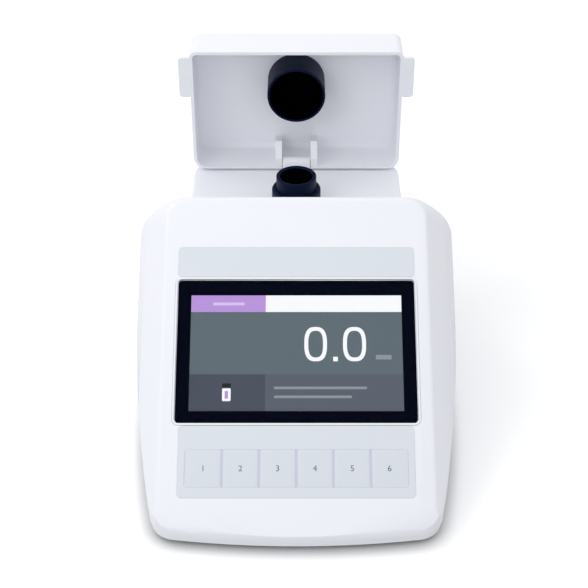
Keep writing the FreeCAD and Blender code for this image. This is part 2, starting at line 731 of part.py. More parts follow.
def panel_tools():
    """What is taken out of the sloping panel."""
    tools = [
        panel_plate("film_seat", "0", "overlay_start + %s / 2" % BELOW_LENGTH, "-overlay_sunk",
                    "overlay_width + 2 * slide_gap", BELOW_LENGTH + " + 2 * slide_gap", "5",
                    "overlay_radius + slide_gap"),
        panel_plate("header_seat", "0", "%s + %s / 2" % (ABOVE_START, ABOVE_LENGTH),
                    "-overlay_sunk", "header_width + 2 * slide_gap",
                    ABOVE_LENGTH + " + 2 * slide_gap", "5", "overlay_radius + slide_gap"),
        panel_plate("glass_seat", "0", "window_middle_s", "-window_seat",
                    "window_width + 2 * (rim_width + 2 * slide_gap)",
                    "window_length + 2 * (rim_width + 2 * slide_gap)", "5",
                    "window_radius + rim_width + 2 * slide_gap"),
        panel_plate("lcd_opening", "0", "window_middle_s", "-2 * panel_wall", "display_width + 4",
                    "display_length + 4", "4 * panel_wall", "window_radius"),
        panel_plate("key_seat", "0", "key_middle_s", "key_floor_n", KEYS_WIDTH, KEYS_LENGTH, "6",
                    "key_radius + key_gap"),
    ]
    for number, x in enumerate(KEY_SPOTS, start=1):
        stem = rod("stem_hole_%d" % number, "key_stem_radius + stem_play", "6 * panel_wall")
        tools.append(on_panel(stem, x, "key_middle_s", "-4 * panel_wall"))
    return tools


def rear_tools():
    """Openings in the rear wall."""
    jack = rod("jack_opening", "jack_size / 2 - 1 + fit_gap", "4 * wall")
    place(jack, "jack_offset", "rear_y - 3 * wall", "socket_height", X_AXIS, "-90")
    usb = box("usb_opening", "usb_width + 2 * slide_gap", "4 * wall", "usb_height + 2 * slide_gap")
    place(usb, "usb_offset", "rear_y - wall", "socket_height - usb_height / 2 - slide_gap")
    switch = box("switch_opening", "bezel_width - 2 * bezel_margin + 2 * slide_gap", "4 * wall",
                 "bezel_height - 2 * bezel_margin + 2 * slide_gap")
    place(switch, "switch_offset", "rear_y - wall",
          "socket_height - bezel_height / 2 + bezel_margin - slide_gap")
    return [jack, usb, switch]


def upper_shell():
    """The white moulded housing: form less its inside, with bosses, seats and openings."""
    outer = housing_form("housing_outside", "0")
    fillet(outer, "edge_round", lambda p, edge: (
        abs(p.z - value("deck_z")) < 0.01 and p.y > value("crest_y + 1")))
    fillet(outer, "edge_round / 2", lambda p, edge: (
        abs(p.z - value("ridge_z")) < 0.01 and p.y > value("crest_y")))
    inner = housing_form("housing_inside", "wall")
    posts, spots = housing_bosses()
    studs = []
    for number, (x, s) in enumerate(LCD_SPOTS, start=1):
        stud = rod("lcd_boss_%d" % number, "head_radius", "lcd_thick + 1")
        studs.append(on_panel(stud, x, s, "-panel_wall - lcd_thick"))
    rims = doc.addObject("Part::MultiCommon", "bosses_inside")
    rims.Shapes = [group("boss_group", posts), outer]
    hollow = cut("housing_walls", outer, inner)
    solid = fuse("housing_solid", hollow, rims, group("stud_group", studs))
    well = rod("well_opening", "well_outer / 2 + fit_gap", "4 * wall")
    place(well, "0", "port_y", "deck_z - 3 * wall")
    tools = panel_tools() + rear_tools() + [well]
    for number, (x, y) in enumerate(spots, start=1):
        pilot = hole("shell_pilot_%d" % number, "screw_length")
        tools.append(place(pilot, x, y, "pad_z - 1"))
    for number, (x, s) in enumerate(LCD_SPOTS, start=1):
        pilot = hole("lcd_pilot_%d" % number, "lcd_thick + panel_wall - 1")
        tools.append(on_panel(pilot, x, s, "-panel_wall - lcd_thick - 1"))
    for number, side in enumerate(("", "-"), start=1):
        pilot = hole("hinge_hole_%d" % number, "4 * wall")
        tools.append(place(pilot, side + "(knuckle_width / 4)", "hinge_y", "deck_z - 3 * wall"))
    return cut("upper_shell", solid, *tools)


def base_tray():
    """The lower tray with a locating lip, screw pads and recesses for feet and screw heads."""
    body = new_body("tray_form")
    plan = new_sketch(body, "XY_Plane", ("0", "0", "foot_height"))
    plan_outline(plan, "tray_inset")
    pad(plan, "tray_height")
    edge = "(wall + lip_gap)"
    lip = new_sketch(body, "XY_Plane", ("0", "0", "parting_z"))
    plan_outline(lip, edge)
    pad(lip, "lip_height")
    inside = new_sketch(body, "XY_Plane", ("0", "0", "floor_z"))
    plan_outline(inside, "(wall + lip_gap + lip_thick)")
    pocket(inside, "tray_height + lip_height", backwards=True)
    # The lip stops short of the front, where the panel comes down over it
    front = new_sketch(body, "XY_Plane", ("0", "0", "parting_z"))
    rounded(front, "0", "front_y", "body_width", "2 * lip_setback", "1")
    pocket(front, "2 * lip_height", backwards=True)
    solids = [body]
    tools = []
    screws = corners_of("boss_x", "front_y + front_boss_setback", "rear_y - rear_boss_setback")
    posts = corners_of("block_width / 2 - post_inset", "port_y - block_width / 2 + post_inset",
                       "port_y + block_width / 2 - post_inset")
    for number, (x, y) in enumerate(screws + posts, start=1):
        mound = rod("tray_pad_%d" % number, "pad_radius", "pad_rise + wall / 2")
        solids.append(place(mound, x, y, "floor_z - wall / 2"))
        sink = rod("tray_sink_%d" % number, "head_radius + 0.6", "sink_depth + 1")
        tools.append(place(sink, x, y, "foot_height - 1"))
        tools.append(place(hole("tray_hole_%d" % number, "12"), x, y, "foot_height - 1"))
    feet = corners_of("foot_x", "front_y + front_foot_setback", "rear_y - rear_foot_setback")
    for number, (x, y) in enumerate(feet, start=1):
        seat = rod("tray_foot_seat_%d" % number, "foot_radius + slide_gap", "foot_sunk + 1")
        tools.append(place(seat, x, y, "foot_height - 1"))
    return cut("base_tray", fuse("tray_solid", *solids), *tools), screws, posts, feet


def small_parts_below(screws, posts, feet):
    """Feet and the screws that come up through the tray."""
    pads = []
    for number, (x, y) in enumerate(feet, start=1):
        foot = turned("foot_%d" % number, [
            ("0", "0"),
            ("foot_radius - 1", "0"),
            ("foot_radius", "1"),
            ("foot_radius", "foot_height + foot_sunk"),
            ("0", "foot_height + foot_sunk"),
        ])
        pads.append(place(foot, x, y, "0"))
    group("rubber_feet", pads)
    for label, spots in (("base_screws", screws), ("optics_screws", posts)):
        pieces = []
        for number, (x, y) in enumerate(spots, start=1):
            piece = screw("%s_%d" % (label, number), "screw_length")
            pieces.append(place(piece, x, y, "foot_height + sink_depth"))
        group(label, pieces)


# Panel pieces
def panel_pieces():
    """Film, glass, rim, display module, bracket and their screws."""
    panel_plate("front_overlay", "0", "overlay_start + %s / 2" % BELOW_LENGTH, "-overlay_sunk",
                "overlay_width", BELOW_LENGTH, "overlay_thick", "overlay_radius",
                [("0", "key_middle_s", KEYS_WIDTH, KEYS_LENGTH, "key_radius + key_gap")])
    panel_plate("header_overlay", "0", "%s + %s / 2" % (ABOVE_START, ABOVE_LENGTH),
                "-overlay_sunk", "header_width", ABOVE_LENGTH, "overlay_thick", "overlay_radius")
    panel_plate("display_frame", "0", "window_middle_s", "-window_seat",
                "window_width + 2 * (rim_width + slide_gap)",
                "window_length + 2 * (rim_width + slide_gap)", "window_seat + rim_proud",
                "window_radius + rim_width + slide_gap",
                [("0", "window_middle_s", "window_width + 2 * slide_gap",
                  "window_length + 2 * slide_gap", "window_radius + slide_gap")])
    panel_plate("display_window", "0", "window_middle_s", "-window_seat", "window_width",
                "window_length", "window_thick", "window_radius")
    panel_plate("lcd_panel", "0", "window_middle_s", "lcd_n", "lcd_width", "lcd_length",
                "lcd_thick", "1")
    panel_plate("lcd_bracket", "0", "window_middle_s", "bracket_n",
                "lcd_width + 2 * bracket_reach + 1", "lcd_length", "bracket_thick", "2",
                [("0", "window_middle_s", "lcd_width - 30", "lcd_length - 30", "6")]
                + [(x, s, "2 * (screw_radius + screw_play)", "2 * (screw_radius + screw_play)",
                    "screw_radius + screw_play - 0.01") for x, s in LCD_SPOTS])
    pieces = []
    for number, (x, s) in enumerate(LCD_SPOTS, start=1):
        piece = screw("lcd_screw_%d" % number, "bracket_thick + lcd_thick - 0.5")
        pieces.append(on_panel(piece, x, s, "bracket_n"))
    group("lcd_screws", pieces)


def keys():
    """Six key caps with stems over their switches."""
    switches = []
    for number, x in enumerate(KEY_SPOTS, start=1):
        cap = new_body("key_%d" % number)
        plate = new_sketch(cap, "XY_Plane")
        rounded(plate, "0", "0", "key_pitch - key_gap", "key_length", "key_radius")
        pad(plate, "key_thick")
        stem = new_sketch(cap, "XY_Plane")
        ring(stem, "0", "0", "key_stem_radius")
        pad(stem, "key_stem_length", backwards=True)
        on_panel(cap, x, "key_middle_s", "cap_n - key_thick")
        low = box("switch_low_%d" % number, "switch_size", "switch_size", "switch_height - 1")
        tip = rod("switch_tip_%d" % number, "key_stem_radius - 1", "switch_height")
        switch = fuse("switch_%d" % number, low, tip)
        switches.append(on_panel(switch, x, "key_middle_s", "switch_top_n - switch_height"))
    group("key_switches", switches)
    panel_plate("key_board", "0", "key_middle_s", "key_board_n",
                "5 * key_pitch + 2 * key_board_end", "key_length + 4", "board_thick", "2")


# Lid, drawn closed about its hinge axis and then turned open
def lid_place(thing, x="0", y="0", z="0"):
    """Puts a piece drawn in the closed lid's frame on the open lid."""
    turned_y = "hinge_y + (%s) * cos(open_angle) + (%s) * sin(open_angle)" % (y, z)
    turned_z = "hinge_z - (%s) * sin(open_angle) + (%s) * cos(open_angle)" % (y, z)
    return place(thing, x, turned_y, turned_z, X_AXIS, "-open_angle")


def lid_outline(sketch, inset):
    """The lid from above, with its rear corners rounder than its front ones."""
    half = "(turret_width / 2 - %s)" % inset
    rear = "(hinge_inset - %s)" % inset
    front = "(hinge_inset - lid_length + %s)" % inset
    large = "(turret_corner_radius - %s)" % inset
    small = "(lid_front_radius - %s)" % inset
    loop(sketch, [
        ("-%s + %s" % (half, small), front),
        ("%s - %s" % (half, small), front, small, 1),
        (half, "%s + %s" % (front, small)),
        (half, "%s - %s" % (rear, large), large, 1),
        ("%s - %s" % (half, large), rear),
        ("-%s + %s" % (half, large), rear, large, 1),
        ("-" + half, "%s - %s" % (rear, large)),
        ("-" + half, "%s + %s" % (front, small), small, 1),
    ])


def lid_shell():
    """The lid: a shallow box with finger tabs, a rear notch for the hinge block and two arms."""
    body = new_body("lid_form")
    outline = new_sketch(body, "XY_Plane", ("0", "0", "-hinge_height"))
    lid_outline(outline, "0")
    pad(outline, "lid_height")
    top = value("lid_height - hinge_height")
    fillet(body, "lid_top_round", lambda p, edge: abs(p.z - top) < 0.01)
    inside = new_sketch(body, "XY_Plane", ("0", "0", "-hinge_height"))
    lid_outline(inside, "wall")
    pocket(inside, "lid_height - wall", backwards=True)
    roof = value("lid_height - hinge_height - wall")
    fillet(body, "lid_inner_round", lambda p, edge: abs(p.z - roof) < value("slide_gap"))
    solids = [body]
    for number, side in enumerate((1, -1), start=1):
        arm = new_body("hinge_arm_%d" % number)
        shape = new_sketch(arm, "YZ_Plane", ("0", "0", "%d * arm_x" % side))
        loop(shape, [
            ("hinge_inset - wall / 2", "-hinge_height + lid_rear_chamfer + 1"),
            ("hinge_inset - wall / 2", "lid_height - hinge_height - wall / 2"),
            ("hinge_inset - arm_reach + arm_slope", "lid_height - hinge_height - wall / 2"),
            ("hinge_inset - arm_reach", "hinge_height"),
            ("-hinge_height", "-hinge_height + 1"),
            ("hinge_inset - lid_rear_chamfer - 1", "-hinge_height + 1"),
        ])
        pad(shape, "arm_thick", backwards=side < 0)
        solids.append(arm)
        tab = new_body("finger_tab_%d" % number)
        flat = new_sketch(tab, "XY_Plane", ("0", "0", "-hinge_height"))
        reach = "(tab_reach + wall / 2)"
        rounded(flat, "%d * (turret_width / 2 + (tab_reach - wall / 2) / 2)" % side,
                "-tab_setback", reach, "tab_length", "tab_radius")
        pad(flat, "tab_thick")
        solids.append(tab)
    notch = box("lid_notch", "2 * arm_x", "2 * wall", "hinge_height + notch_rise + 1")
    place(notch, "0", "hinge_inset - wall / 2", "-hinge_height - 1")
    bevel = new_body("lid_bevel")
    wedge = new_sketch(bevel, "YZ_Plane")
    loop(wedge, [
        ("hinge_inset - lid_rear_chamfer", "-hinge_height"),
        ("hinge_inset - lid_rear_chamfer", "-hinge_height - 1"),
        ("hinge_inset + 1", "-hinge_height - 1"),
        ("hinge_inset + 1", "-hinge_height + lid_rear_chamfer"),
        ("hinge_inset", "-hinge_height + lid_rear_chamfer"),
    ])
    pad(wedge, "2 * turret_width").Midplane = True
    bore = rod("lid_pin_bore", "pin_radius + screw_play", "2 * (arm_x + arm_thick) - 1")
    place(bore, "-arm_x - arm_thick + 0.5", "0", "0", Y_AXIS, "90")
    return lid_place(cut("lid_shell", fuse("lid_solid", *solids), notch, bevel, bore))


def hinge():
    """The knuckle on the deck, the pin through the lid's arms and the screws from below."""
    post = new_body("hinge_post")
    shape = new_sketch(post, "YZ_Plane", ("0", "0", "-knuckle_width / 2"))
    foot = "(-hinge_height - lid_deck_gap)"
    loop(shape, [
        ("-knuckle_radius", foot),
        ("knuckle_radius", foot),
        ("knuckle_radius", "0", "knuckle_radius", 1),
        ("0", "knuckle_radius", "knuckle_radius", 1),
        ("-knuckle_radius", "0"),
    ])
    pad(shape, "knuckle_width")
    bore = rod("knuckle_bore", "pin_radius + pin_play", "2 * knuckle_width")
    place(bore, "-knuckle_width", "0", "0", Y_AXIS, "90")
    tools = [bore]
    pieces = []
    depth = "hinge_height + lid_deck_gap - pin_radius - 1"
    for number, side in enumerate(("", "-"), start=1):
        x = side + "(knuckle_width / 4)"
        tools.append(place(hole("knuckle_pilot_%d" % number, depth + " + 1"), x, "0",
                           foot + " - 1"))
        piece = screw("hinge_screw_%d" % number, "wall + " + depth + " - 0.3")
        pieces.append(place(piece, x, "hinge_y", "deck_z - wall"))
    place(cut("hinge_block", post, *tools), "0", "hinge_y", "hinge_z")
    group("hinge_screws", pieces)
    pin = rod("hinge_pin", "pin_radius", "2 * (arm_x + arm_thick) - 1.2")
    place(pin, "-arm_x - arm_thick + 0.6", "hinge_y", "hinge_z", Y_AXIS, "90")


def light_shield():
    """The black tube in the lid, a cup with its mouth towards the deck."""
    height = "(lid_height - wall - tube_inset)"
    tube = turned("light_shield_tube", [
        ("0", height),
        ("0", height + " - tube_end"),
        ("tube_outer / 2 - tube_wall", height + " - tube_end"),
        ("tube_outer / 2 - tube_wall", "0"),
        ("tube_outer / 2", "0"),
        ("tube_outer / 2", height),
    ])
    lid_place(tube, "0", "-port_setback", "tube_inset - hinge_height")


def lid_bumpers():
    """Small rubber pads on the deck that the lid's rim meets, open and closed."""
    pieces = []
    thick = "lid_deck_gap - bumper_gap"
    spots = corners_of("turret_width / 4", "hinge_y + hinge_inset + 0.5",
                       "hinge_y + hinge_inset - lid_length + wall / 2 + 1")
    for number, (x, y) in enumerate(spots, start=1):
        piece = box("lid_bumper_%d" % number, "12", "3", thick)
        pieces.append(place(piece, x, y, "deck_z"))
    group("lid_bumpers", pieces)


# Sample port and optics
def sample_port():
    """The black well that takes the vial, and the ring round its collar."""
    top = "well_rise"
    seat = "-wall"
    floor = "(well_rise - well_depth)"
    well = turned("well_form", [
        ("0", floor),
        ("vial_bore / 2", floor),
        ("vial_bore / 2", top + " - 1"),
        ("vial_bore / 2 + 1", top),
        ("well_outer / 2 - 0.6", top),
        ("well_outer / 2", top + " - 0.6"),
        ("well_outer / 2", seat),
        ("liner_outer / 2", seat),
        ("liner_outer / 2", floor + " - well_floor"),
        ("0", floor + " - well_floor"),
    ])
    across = rod("well_slot_across", "beam_radius", "2 * liner_outer")
    place(across, "-liner_outer", "0", floor + " + beam_height", Y_AXIS, "90")
    behind = rod("well_slot_behind", "beam_radius", "liner_outer")
    place(behind, "0", "0", floor + " + beam_height", X_AXIS, "-90")
    place(cut("sample_well", well, across, behind), "0", "port_y", "deck_z")
    collar = turned("port_ring", [
        ("well_outer / 2 + fit_gap", "0"),
        ("ring_outer / 2", "0"),
        ("ring_outer / 2", "ring_rise - 1"),
        ("ring_outer / 2 - 1", "ring_rise"),
        ("well_outer / 2 + fit_gap", "ring_rise"),
    ])
    place(collar, "0", "port_y", "deck_z")


def optical_block():
    """The block under the deck with the well's bore, three side bores and holes for its posts."""
    solid = box("block_form", "block_width", "block_width", "block_height")
    bore = rod("block_bore", "liner_outer / 2 + fit_gap", "2 * block_height")
    place(bore, "0", "0", "well_floor_z - well_floor - block_z")
    tools = [bore]
    height = "beam_z - block_z"
    half = "block_width / 2"
    sides = [("left", Y_AXIS, "-90"), ("right", Y_AXIS, "90"), ("back", X_AXIS, "-90")]
    for label, axis, angle in sides:
        path = rod("light_path_" + label, "beam_radius", "block_width")
        tools.append(place(path, "0", "0", height, axis, angle))
        seat = rod("holder_seat_" + label, "cartridge_radius + fit_gap", "block_width")
        x = {"left": "-(%s - cartridge_depth)" % half, "right": "%s - cartridge_depth" % half}
        y = {"back": "%s - cartridge_depth" % half}
        tools.append(place(seat, x.get(label, "0"), y.get(label, "0"), height, axis, angle))
    for number, (x, y) in enumerate(corners_of(half + " - post_inset", "-%s + post_inset" % half,
                                               half + " - post_inset"), start=1):
        socket = rod("post_socket_%d" % number, "spigot_radius + screw_play", "spigot_length + 2")
        tools.append(place(socket, x, y, "-1"))
    block = cut("optical_block", solid, *tools)
    return place(block, "0", "port_y", "block_z"), sides


def optics(posts):
    """Posts, lamp, lens and detectors round the block."""
    pieces = []
    for number, (x, y) in enumerate(posts, start=1):
        post = fuse("post_form_%d" % number,
                    hexagon("post_stem_%d" % number, "post_radius", "block_z - pad_z"),
                    rod("post_spigot_%d" % number, "spigot_radius",
                        "block_z - pad_z + spigot_length"))
        tapped = cut("post_%d" % number, post, place(hole("post_pilot_%d" % number,
                                                          "screw_length + 2"), "0", "0", "-1"))
        pieces.append(place(tapped, x, y, "pad_z"))
    group("optics_posts", pieces)
    half = "block_width / 2"
    sides = {
        "lamp_holder": ("-(%s)" % half, "0", Y_AXIS, "-90"),
        "through_detector_holder": (half, "0", Y_AXIS, "90"),
        "side_detector_holder": ("0", half, X_AXIS, "-90"),
    }
    for label, (x, y, axis, angle) in sides.items():
        # Drawn with +Z pointing out of the block, the flange standing on the block's face
        holder = turned(label, [
            ("beam_radius + 1", "-cartridge_depth"),
            ("cartridge_radius", "-cartridge_depth"),
            ("cartridge_radius", "0"),
            ("cartridge_flange", "0"),
            ("cartridge_flange", "flange_thick"),
            ("beam_radius + 1", "flange_thick"),
        ])
        place(holder, x, "port_y + (%s)" % y, "beam_z", axis, angle)
        if label == "lamp_holder":
            continue
        can = turned(label.replace("_holder", ""), [
            ("0", "-4"),
            ("beam_radius + 1 - fit_gap", "-4"),
            ("beam_radius + 1 - fit_gap", "flange_thick"),
            ("beam_radius + 3", "flange_thick"),
            ("beam_radius + 3", "flange_thick + board_thick"),
            ("0", "flange_thick + board_thick"),
        ])
        place(can, x, "port_y + (%s)" % y, "beam_z", axis, angle)
    bulb_radius = "(beam_radius + 1 - fit_gap)"
    lamp = turned("lamp_bulb", [
        ("0", "-5"),
        (bulb_radius + " - 2", "-5"),
        (bulb_radius, "-3"),
        (bulb_radius, "flange_thick"),
        ("beam_radius + 3", "flange_thick"),
        ("beam_radius + 3", "flange_thick + 8"),
        ("0", "flange_thick + 8"),
    ])
    place(lamp, "-(%s)" % half, "port_y", "beam_z", Y_AXIS, "-90")
    lens = turned("lamp_lens", [
        ("0", "-11"),
        ("beam_radius + 1 - fit_gap", "-9.5"),
        ("beam_radius + 1 - fit_gap", "-8"),
        ("0", "-8"),
    ])
    place(lens, "-(%s)" % half, "port_y", "beam_z", Y_AXIS, "-90")


# Electronics
def main_board():
    """The main board on its spacers, with a processor, headers and capacitors."""
    board = new_body("main_board")
    sketch = new_sketch(board, "XY_Plane")
    rounded(sketch, "0", "0", "main_width", "main_length", "3")
    spots = corners_of("main_width / 2 - hole_inset", "-(main_length / 2 - hole_inset)",
                       "main_length / 2 - hole_inset")
    for x, y in spots:
        ring(sketch, x, y, "screw_radius + screw_play")
    pad(sketch, "board_thick")
    place(board, "0", "main_y", "board_z")
    spacers = []
    pieces = []
    for number, (x, y) in enumerate(spots, start=1):
        spacer = hexagon("spacer_form_%d" % number, "spacer_radius", "spacer_height")
        tapped = cut("spacer_%d" % number, spacer,
                     place(hole("spacer_hole_%d" % number, "2 * spacer_height"), "0", "0", "-1"))
        spacers.append(place(tapped, x, "main_y + (%s)" % y, "floor_z"))
        piece = screw("board_screw_%d" % number, "spacer_height")
        pieces.append(place(piece, x, "main_y + (%s)" % y, "board_top_z", X_AXIS, "180"))
    group("board_spacers", spacers)
    group("board_screws", pieces)
    chip = box("processor_chip", "chip_size", "chip_size", "chip_thick")
    place(chip, "header_offset / 4", "main_y - header_inset", "board_top_z")
    headers = []
    rear_header_y = "main_y + main_length / 2 - header_inset + slide_gap"
    for number, (x, y) in enumerate([("-header_offset", "header_y"), ("header_offset", "header_y"),
                                     ("-header_offset", rear_header_y)], start=1):
        header = box("header_%d" % number, "ribbon_width + 10 * slide_gap", "header_depth",
                     "header_height")
        headers.append(place(header, x, y, "board_top_z"))
    group("board_headers", headers)
    cans = []
    for number, y in enumerate(["main_y + can_pitch", "main_y + 2 * can_pitch"], start=1):
        can = rod("capacitor_%d" % number, "can_radius", "can_height")
        cans.append(place(can, "can_offset", y, "board_top_z"))
    group("board_capacitors", cans)


def display_ribbon():
    """A flat ribbon from a header on the main board up to the display's back."""
    body = new_body("display_ribbon")
    strip = new_sketch(body, "YZ_Plane", ("0", "0", "-header_offset - ribbon_width / 2"))
    low = "board_top_z + header_height"
    back = "header_y"
    rise = "lip_z + (%s - front_y) * tan(panel_tilt) + bracket_n / cos(panel_tilt) - 0.6"
    loop(strip, [
        (back, low),
        (back + " + ribbon_thick", low),
        (back + " + ribbon_thick", rise % back),
        (back, rise % back),
    ])
    pad(strip, "ribbon_width")
    return body


# Rear sockets and power switch
def rear_pieces():
    """Power jack, data socket, their board and the rocker switch."""
    case = box("jack_case", "jack_size", "jack_depth", "jack_size")
    place(case, "0", "-jack_depth / 2", "-jack_size / 2")
    nose = rod("jack_nose", "jack_size / 2 - 1", "wall + 1")
    place(nose, "0", "-0.5", "0", X_AXIS, "-90")
    mouth = rod("jack_mouth", "jack_bore / 2", "jack_depth + wall")
    place(mouth, "0", "-jack_depth + 2", "0", X_AXIS, "-90")
    pin = rod("jack_centre", "jack_pin / 2", "jack_depth + wall - 3")
    place(pin, "0", "-jack_depth + 1", "0", X_AXIS, "-90")
    shell = cut("jack_shell", fuse("jack_solid", case, nose), mouth)
    place(fuse("dc_jack", shell, pin), "jack_offset", "rear_in_y", "socket_height")
    can = box("usb_case", "usb_width", "usb_depth", "usb_height")
    place(can, "0", "-usb_depth / 2", "-usb_height / 2")
    throat = box("usb_throat", "usb_width - 2 * usb_wall", "usb_depth",
                 "usb_height - 2 * usb_wall")
    place(throat, "0", "-usb_depth / 2 + 2", "-usb_height / 2 + usb_wall")
    tongue = box("usb_tongue", "usb_width / 2", "usb_depth - 4", "usb_height / 3")
    place(tongue, "0", "-usb_depth / 2", "-usb_height / 6")
    socket = fuse("usb_port", cut("usb_shell", can, throat), tongue)
    place(socket, "usb_offset", "jack_back_y + usb_depth", "socket_height")
    board = box("rear_board", "usb_offset - jack_offset + 2 * jack_size", "board_thick",
                "rear_board_height")
    place(board, "(usb_offset + jack_offset) / 2", "jack_back_y - board_thick / 2",
          "socket_height - rear_board_height / 2")


def power_switch():
    """A rocker switch: a bezel, a body behind the wall and a rocker on its own pivot."""
    bezel = box("switch_bezel", "bezel_width", "bezel_thick", "bezel_height")
    place(bezel, "0", "bezel_thick / 2", "-bezel_height / 2")
    body = box("switch_case", "bezel_width - 2 * bezel_margin", "switch_depth + wall",
               "bezel_height - 2 * bezel_margin")
    place(body, "0", "-(switch_depth + wall) / 2", "-bezel_height / 2 + bezel_margin")
    cavity = box("switch_cavity", "rocker_width + 2 * rocker_gap", "10",
                 "rocker_length + 4 * rocker_gap")
    place(cavity, "0", "0", "-rocker_length / 2 - 2 * rocker_gap")
    pivot = "(bezel_thick - rocker_pivot_depth)"
    bearing = rod("switch_bearing", "1.5 + pin_play", "bezel_width - 4")
    place(bearing, "-(bezel_width - 4) / 2", pivot, "0", Y_AXIS, "90")
    solid = cut("power_switch_body", fuse("switch_solid", bezel, body), cavity, bearing)
    place(solid, "switch_offset", "rear_y", "socket_height")
    rocker = new_body("rocker_form")
    side = new_sketch(rocker, "YZ_Plane", ("0", "0", "-rocker_width / 2"))
    top = "(rocker_length / 2 - 0.4)"
    loop(side, [
        ("0", "-" + top),
        ("2.6", "-" + top),
        ("4.4", "-" + top),
        ("3.6", "0"),
        ("4.4", top),
        ("2.6", top),
        ("0", top),
        ("-2.4", "0"),
    ])
    pad(side, "rocker_width")
    axle = rod("rocker_axle", "1.5", "bezel_width - 4.6")
    place(axle, "-(bezel_width - 4.6) / 2", "0", "0", Y_AXIS, "90")
    tilted = fuse("power_rocker", rocker, axle)
    place(tilted, "switch_offset", "rear_y + " + pivot, "socket_height", X_AXIS, "rocker_tilt")


upper_shell()
tray, tray_screws, tray_posts, tray_feet = base_tray()
small_parts_below(tray_screws, tray_posts, tray_feet)
panel_pieces()
keys()
lid_shell()
hinge()
light_shield()
lid_bumpers()
sample_port()
optical_block()
optics(tray_posts)
main_board()
display_ribbon()
rear_pieces()
power_switch()
doc.recompute()

NODES = """upper_shell base_tray rubber_feet base_screws optics_screws front_overlay header_overlay display_frame
display_window lcd_panel lcd_bracket lcd_screws key_1 key_2 key_3 key_4 key_5 key_6 key_switches
key_board lid_shell hinge_block hinge_screws hinge_pin light_shield_tube lid_bumpers sample_well
port_ring optical_block optics_posts lamp_holder through_detector_holder side_detector_holder
through_detector side_detector lamp_bulb lamp_lens main_board board_spacers board_screws
processor_chip board_headers board_capacitors display_ribbon dc_jack usb_port rear_board
power_switch_body power_rocker""".split()

faults = [thing.Name for thing in doc.Objects
          if "Invalid" in thing.State or "Error" in thing.State]
if faults:
    raise RuntimeError("failed: " + ", ".join(faults))
for name in NODES:
    node = doc.getObject(name)
    node.Label = name
    shape = node.Shape
    if shape.isNull() or not shape.isValid() or not shape.Solids:
        raise RuntimeError("bad shape: " + name)
    shape.exportStep("parts/%s.step" % name)
    box_size = shape.BoundBox
    print("%-26s %2d solids %10.0f mm3  x %7.1f %7.1f  y %7.1f %7.1f  z %6.1f %6.1f" % (
        name, len(shape.Solids), shape.Volume, box_size.XMin, box_size.XMax, box_size.YMin,
        box_size.YMax, box_size.ZMin, box_size.ZMax))
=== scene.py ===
# %% [markdown]
# A benchtop turbidity meter: a white moulded wedge with a sloping panel, a display and six keys,
# and a low deck behind it where a black sample port stands under a flip lid.
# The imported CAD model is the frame. This script dresses it, sets the camera where the photographer
# stood, and lights it softly. Blender works in metres. Places on the panel and on the rocker are
# given in millimetres, as are values whose names end in _mm or _MM, and MM turns them to metres.

# %% Load the frame
import json
import math

import bmesh
import bpy
import numpy as np
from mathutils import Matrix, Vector


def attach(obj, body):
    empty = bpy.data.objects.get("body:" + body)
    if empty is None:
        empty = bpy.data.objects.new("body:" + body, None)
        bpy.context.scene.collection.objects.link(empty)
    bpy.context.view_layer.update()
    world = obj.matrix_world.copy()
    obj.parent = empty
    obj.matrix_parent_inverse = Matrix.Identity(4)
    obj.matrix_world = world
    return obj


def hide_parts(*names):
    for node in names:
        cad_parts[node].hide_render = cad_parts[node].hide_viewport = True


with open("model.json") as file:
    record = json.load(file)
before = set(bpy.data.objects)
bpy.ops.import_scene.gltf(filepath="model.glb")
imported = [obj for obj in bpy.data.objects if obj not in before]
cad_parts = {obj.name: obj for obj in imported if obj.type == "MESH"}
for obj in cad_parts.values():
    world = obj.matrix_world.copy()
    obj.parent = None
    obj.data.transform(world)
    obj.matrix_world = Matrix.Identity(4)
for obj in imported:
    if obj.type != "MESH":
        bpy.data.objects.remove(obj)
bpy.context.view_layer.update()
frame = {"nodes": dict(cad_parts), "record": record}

NODES = frame["nodes"]
SLOT_OF = {row["node"]: row["material_slot"] for row in frame["record"]["subparts"]}
BODY_OF = {node: body for body, members in frame["record"]["behaviour"]["bodies"].items()
           for node in members}

# %% [markdown]
# The panel slopes, so everything on it is drawn flat and then carried onto the slope. A point has
# three numbers there: x across, s up the slope from the front lip, and n out of the panel. Working
# in that frame keeps the sizes of keys and screen fields plain to read, which a rotated object
# would hide.

# %% The panel's own frame
MM = 0.001
TILT = math.radians(36)
LIP_Y, LIP_Z = -171.51, 14.8


def on_panel(x, s, n):
    """Millimetres on the panel to metres in the world: y is the lip plus s times the cosine less n
    times the sine of the tilt, and z is the lip plus s times the sine and n times the cosine."""
    x, s, n = np.broadcast_arrays(np.asarray(x, float), s, n)
    y = LIP_Y + s * math.cos(TILT) - n * math.sin(TILT)
    z = LIP_Z + s * math.sin(TILT) + n * math.cos(TILT)
    return np.stack([x, y, z], axis=-1) * MM


PANEL_MIDDLE_S = 126.4
print("panel's middle:", on_panel(0, PANEL_MIDDLE_S, 0).round(4))

# %% [markdown]
# The photograph looks down on the meter from the front. The display's four corners fix the camera:
# their converging sides give the distance, and their height in the picture gives the pitch. A
# camera placed from those numbers lines up at once, where one moved by eye never quite does.

# %% Camera
PICTURE = 588
FOCAL_PX = 1300
SENSOR_MM = 36
CAMERA_PLACE = (0.0, -0.8078, 0.669)
CAMERA_PITCH = math.radians(35.2)
AXIS_PX = 296.3

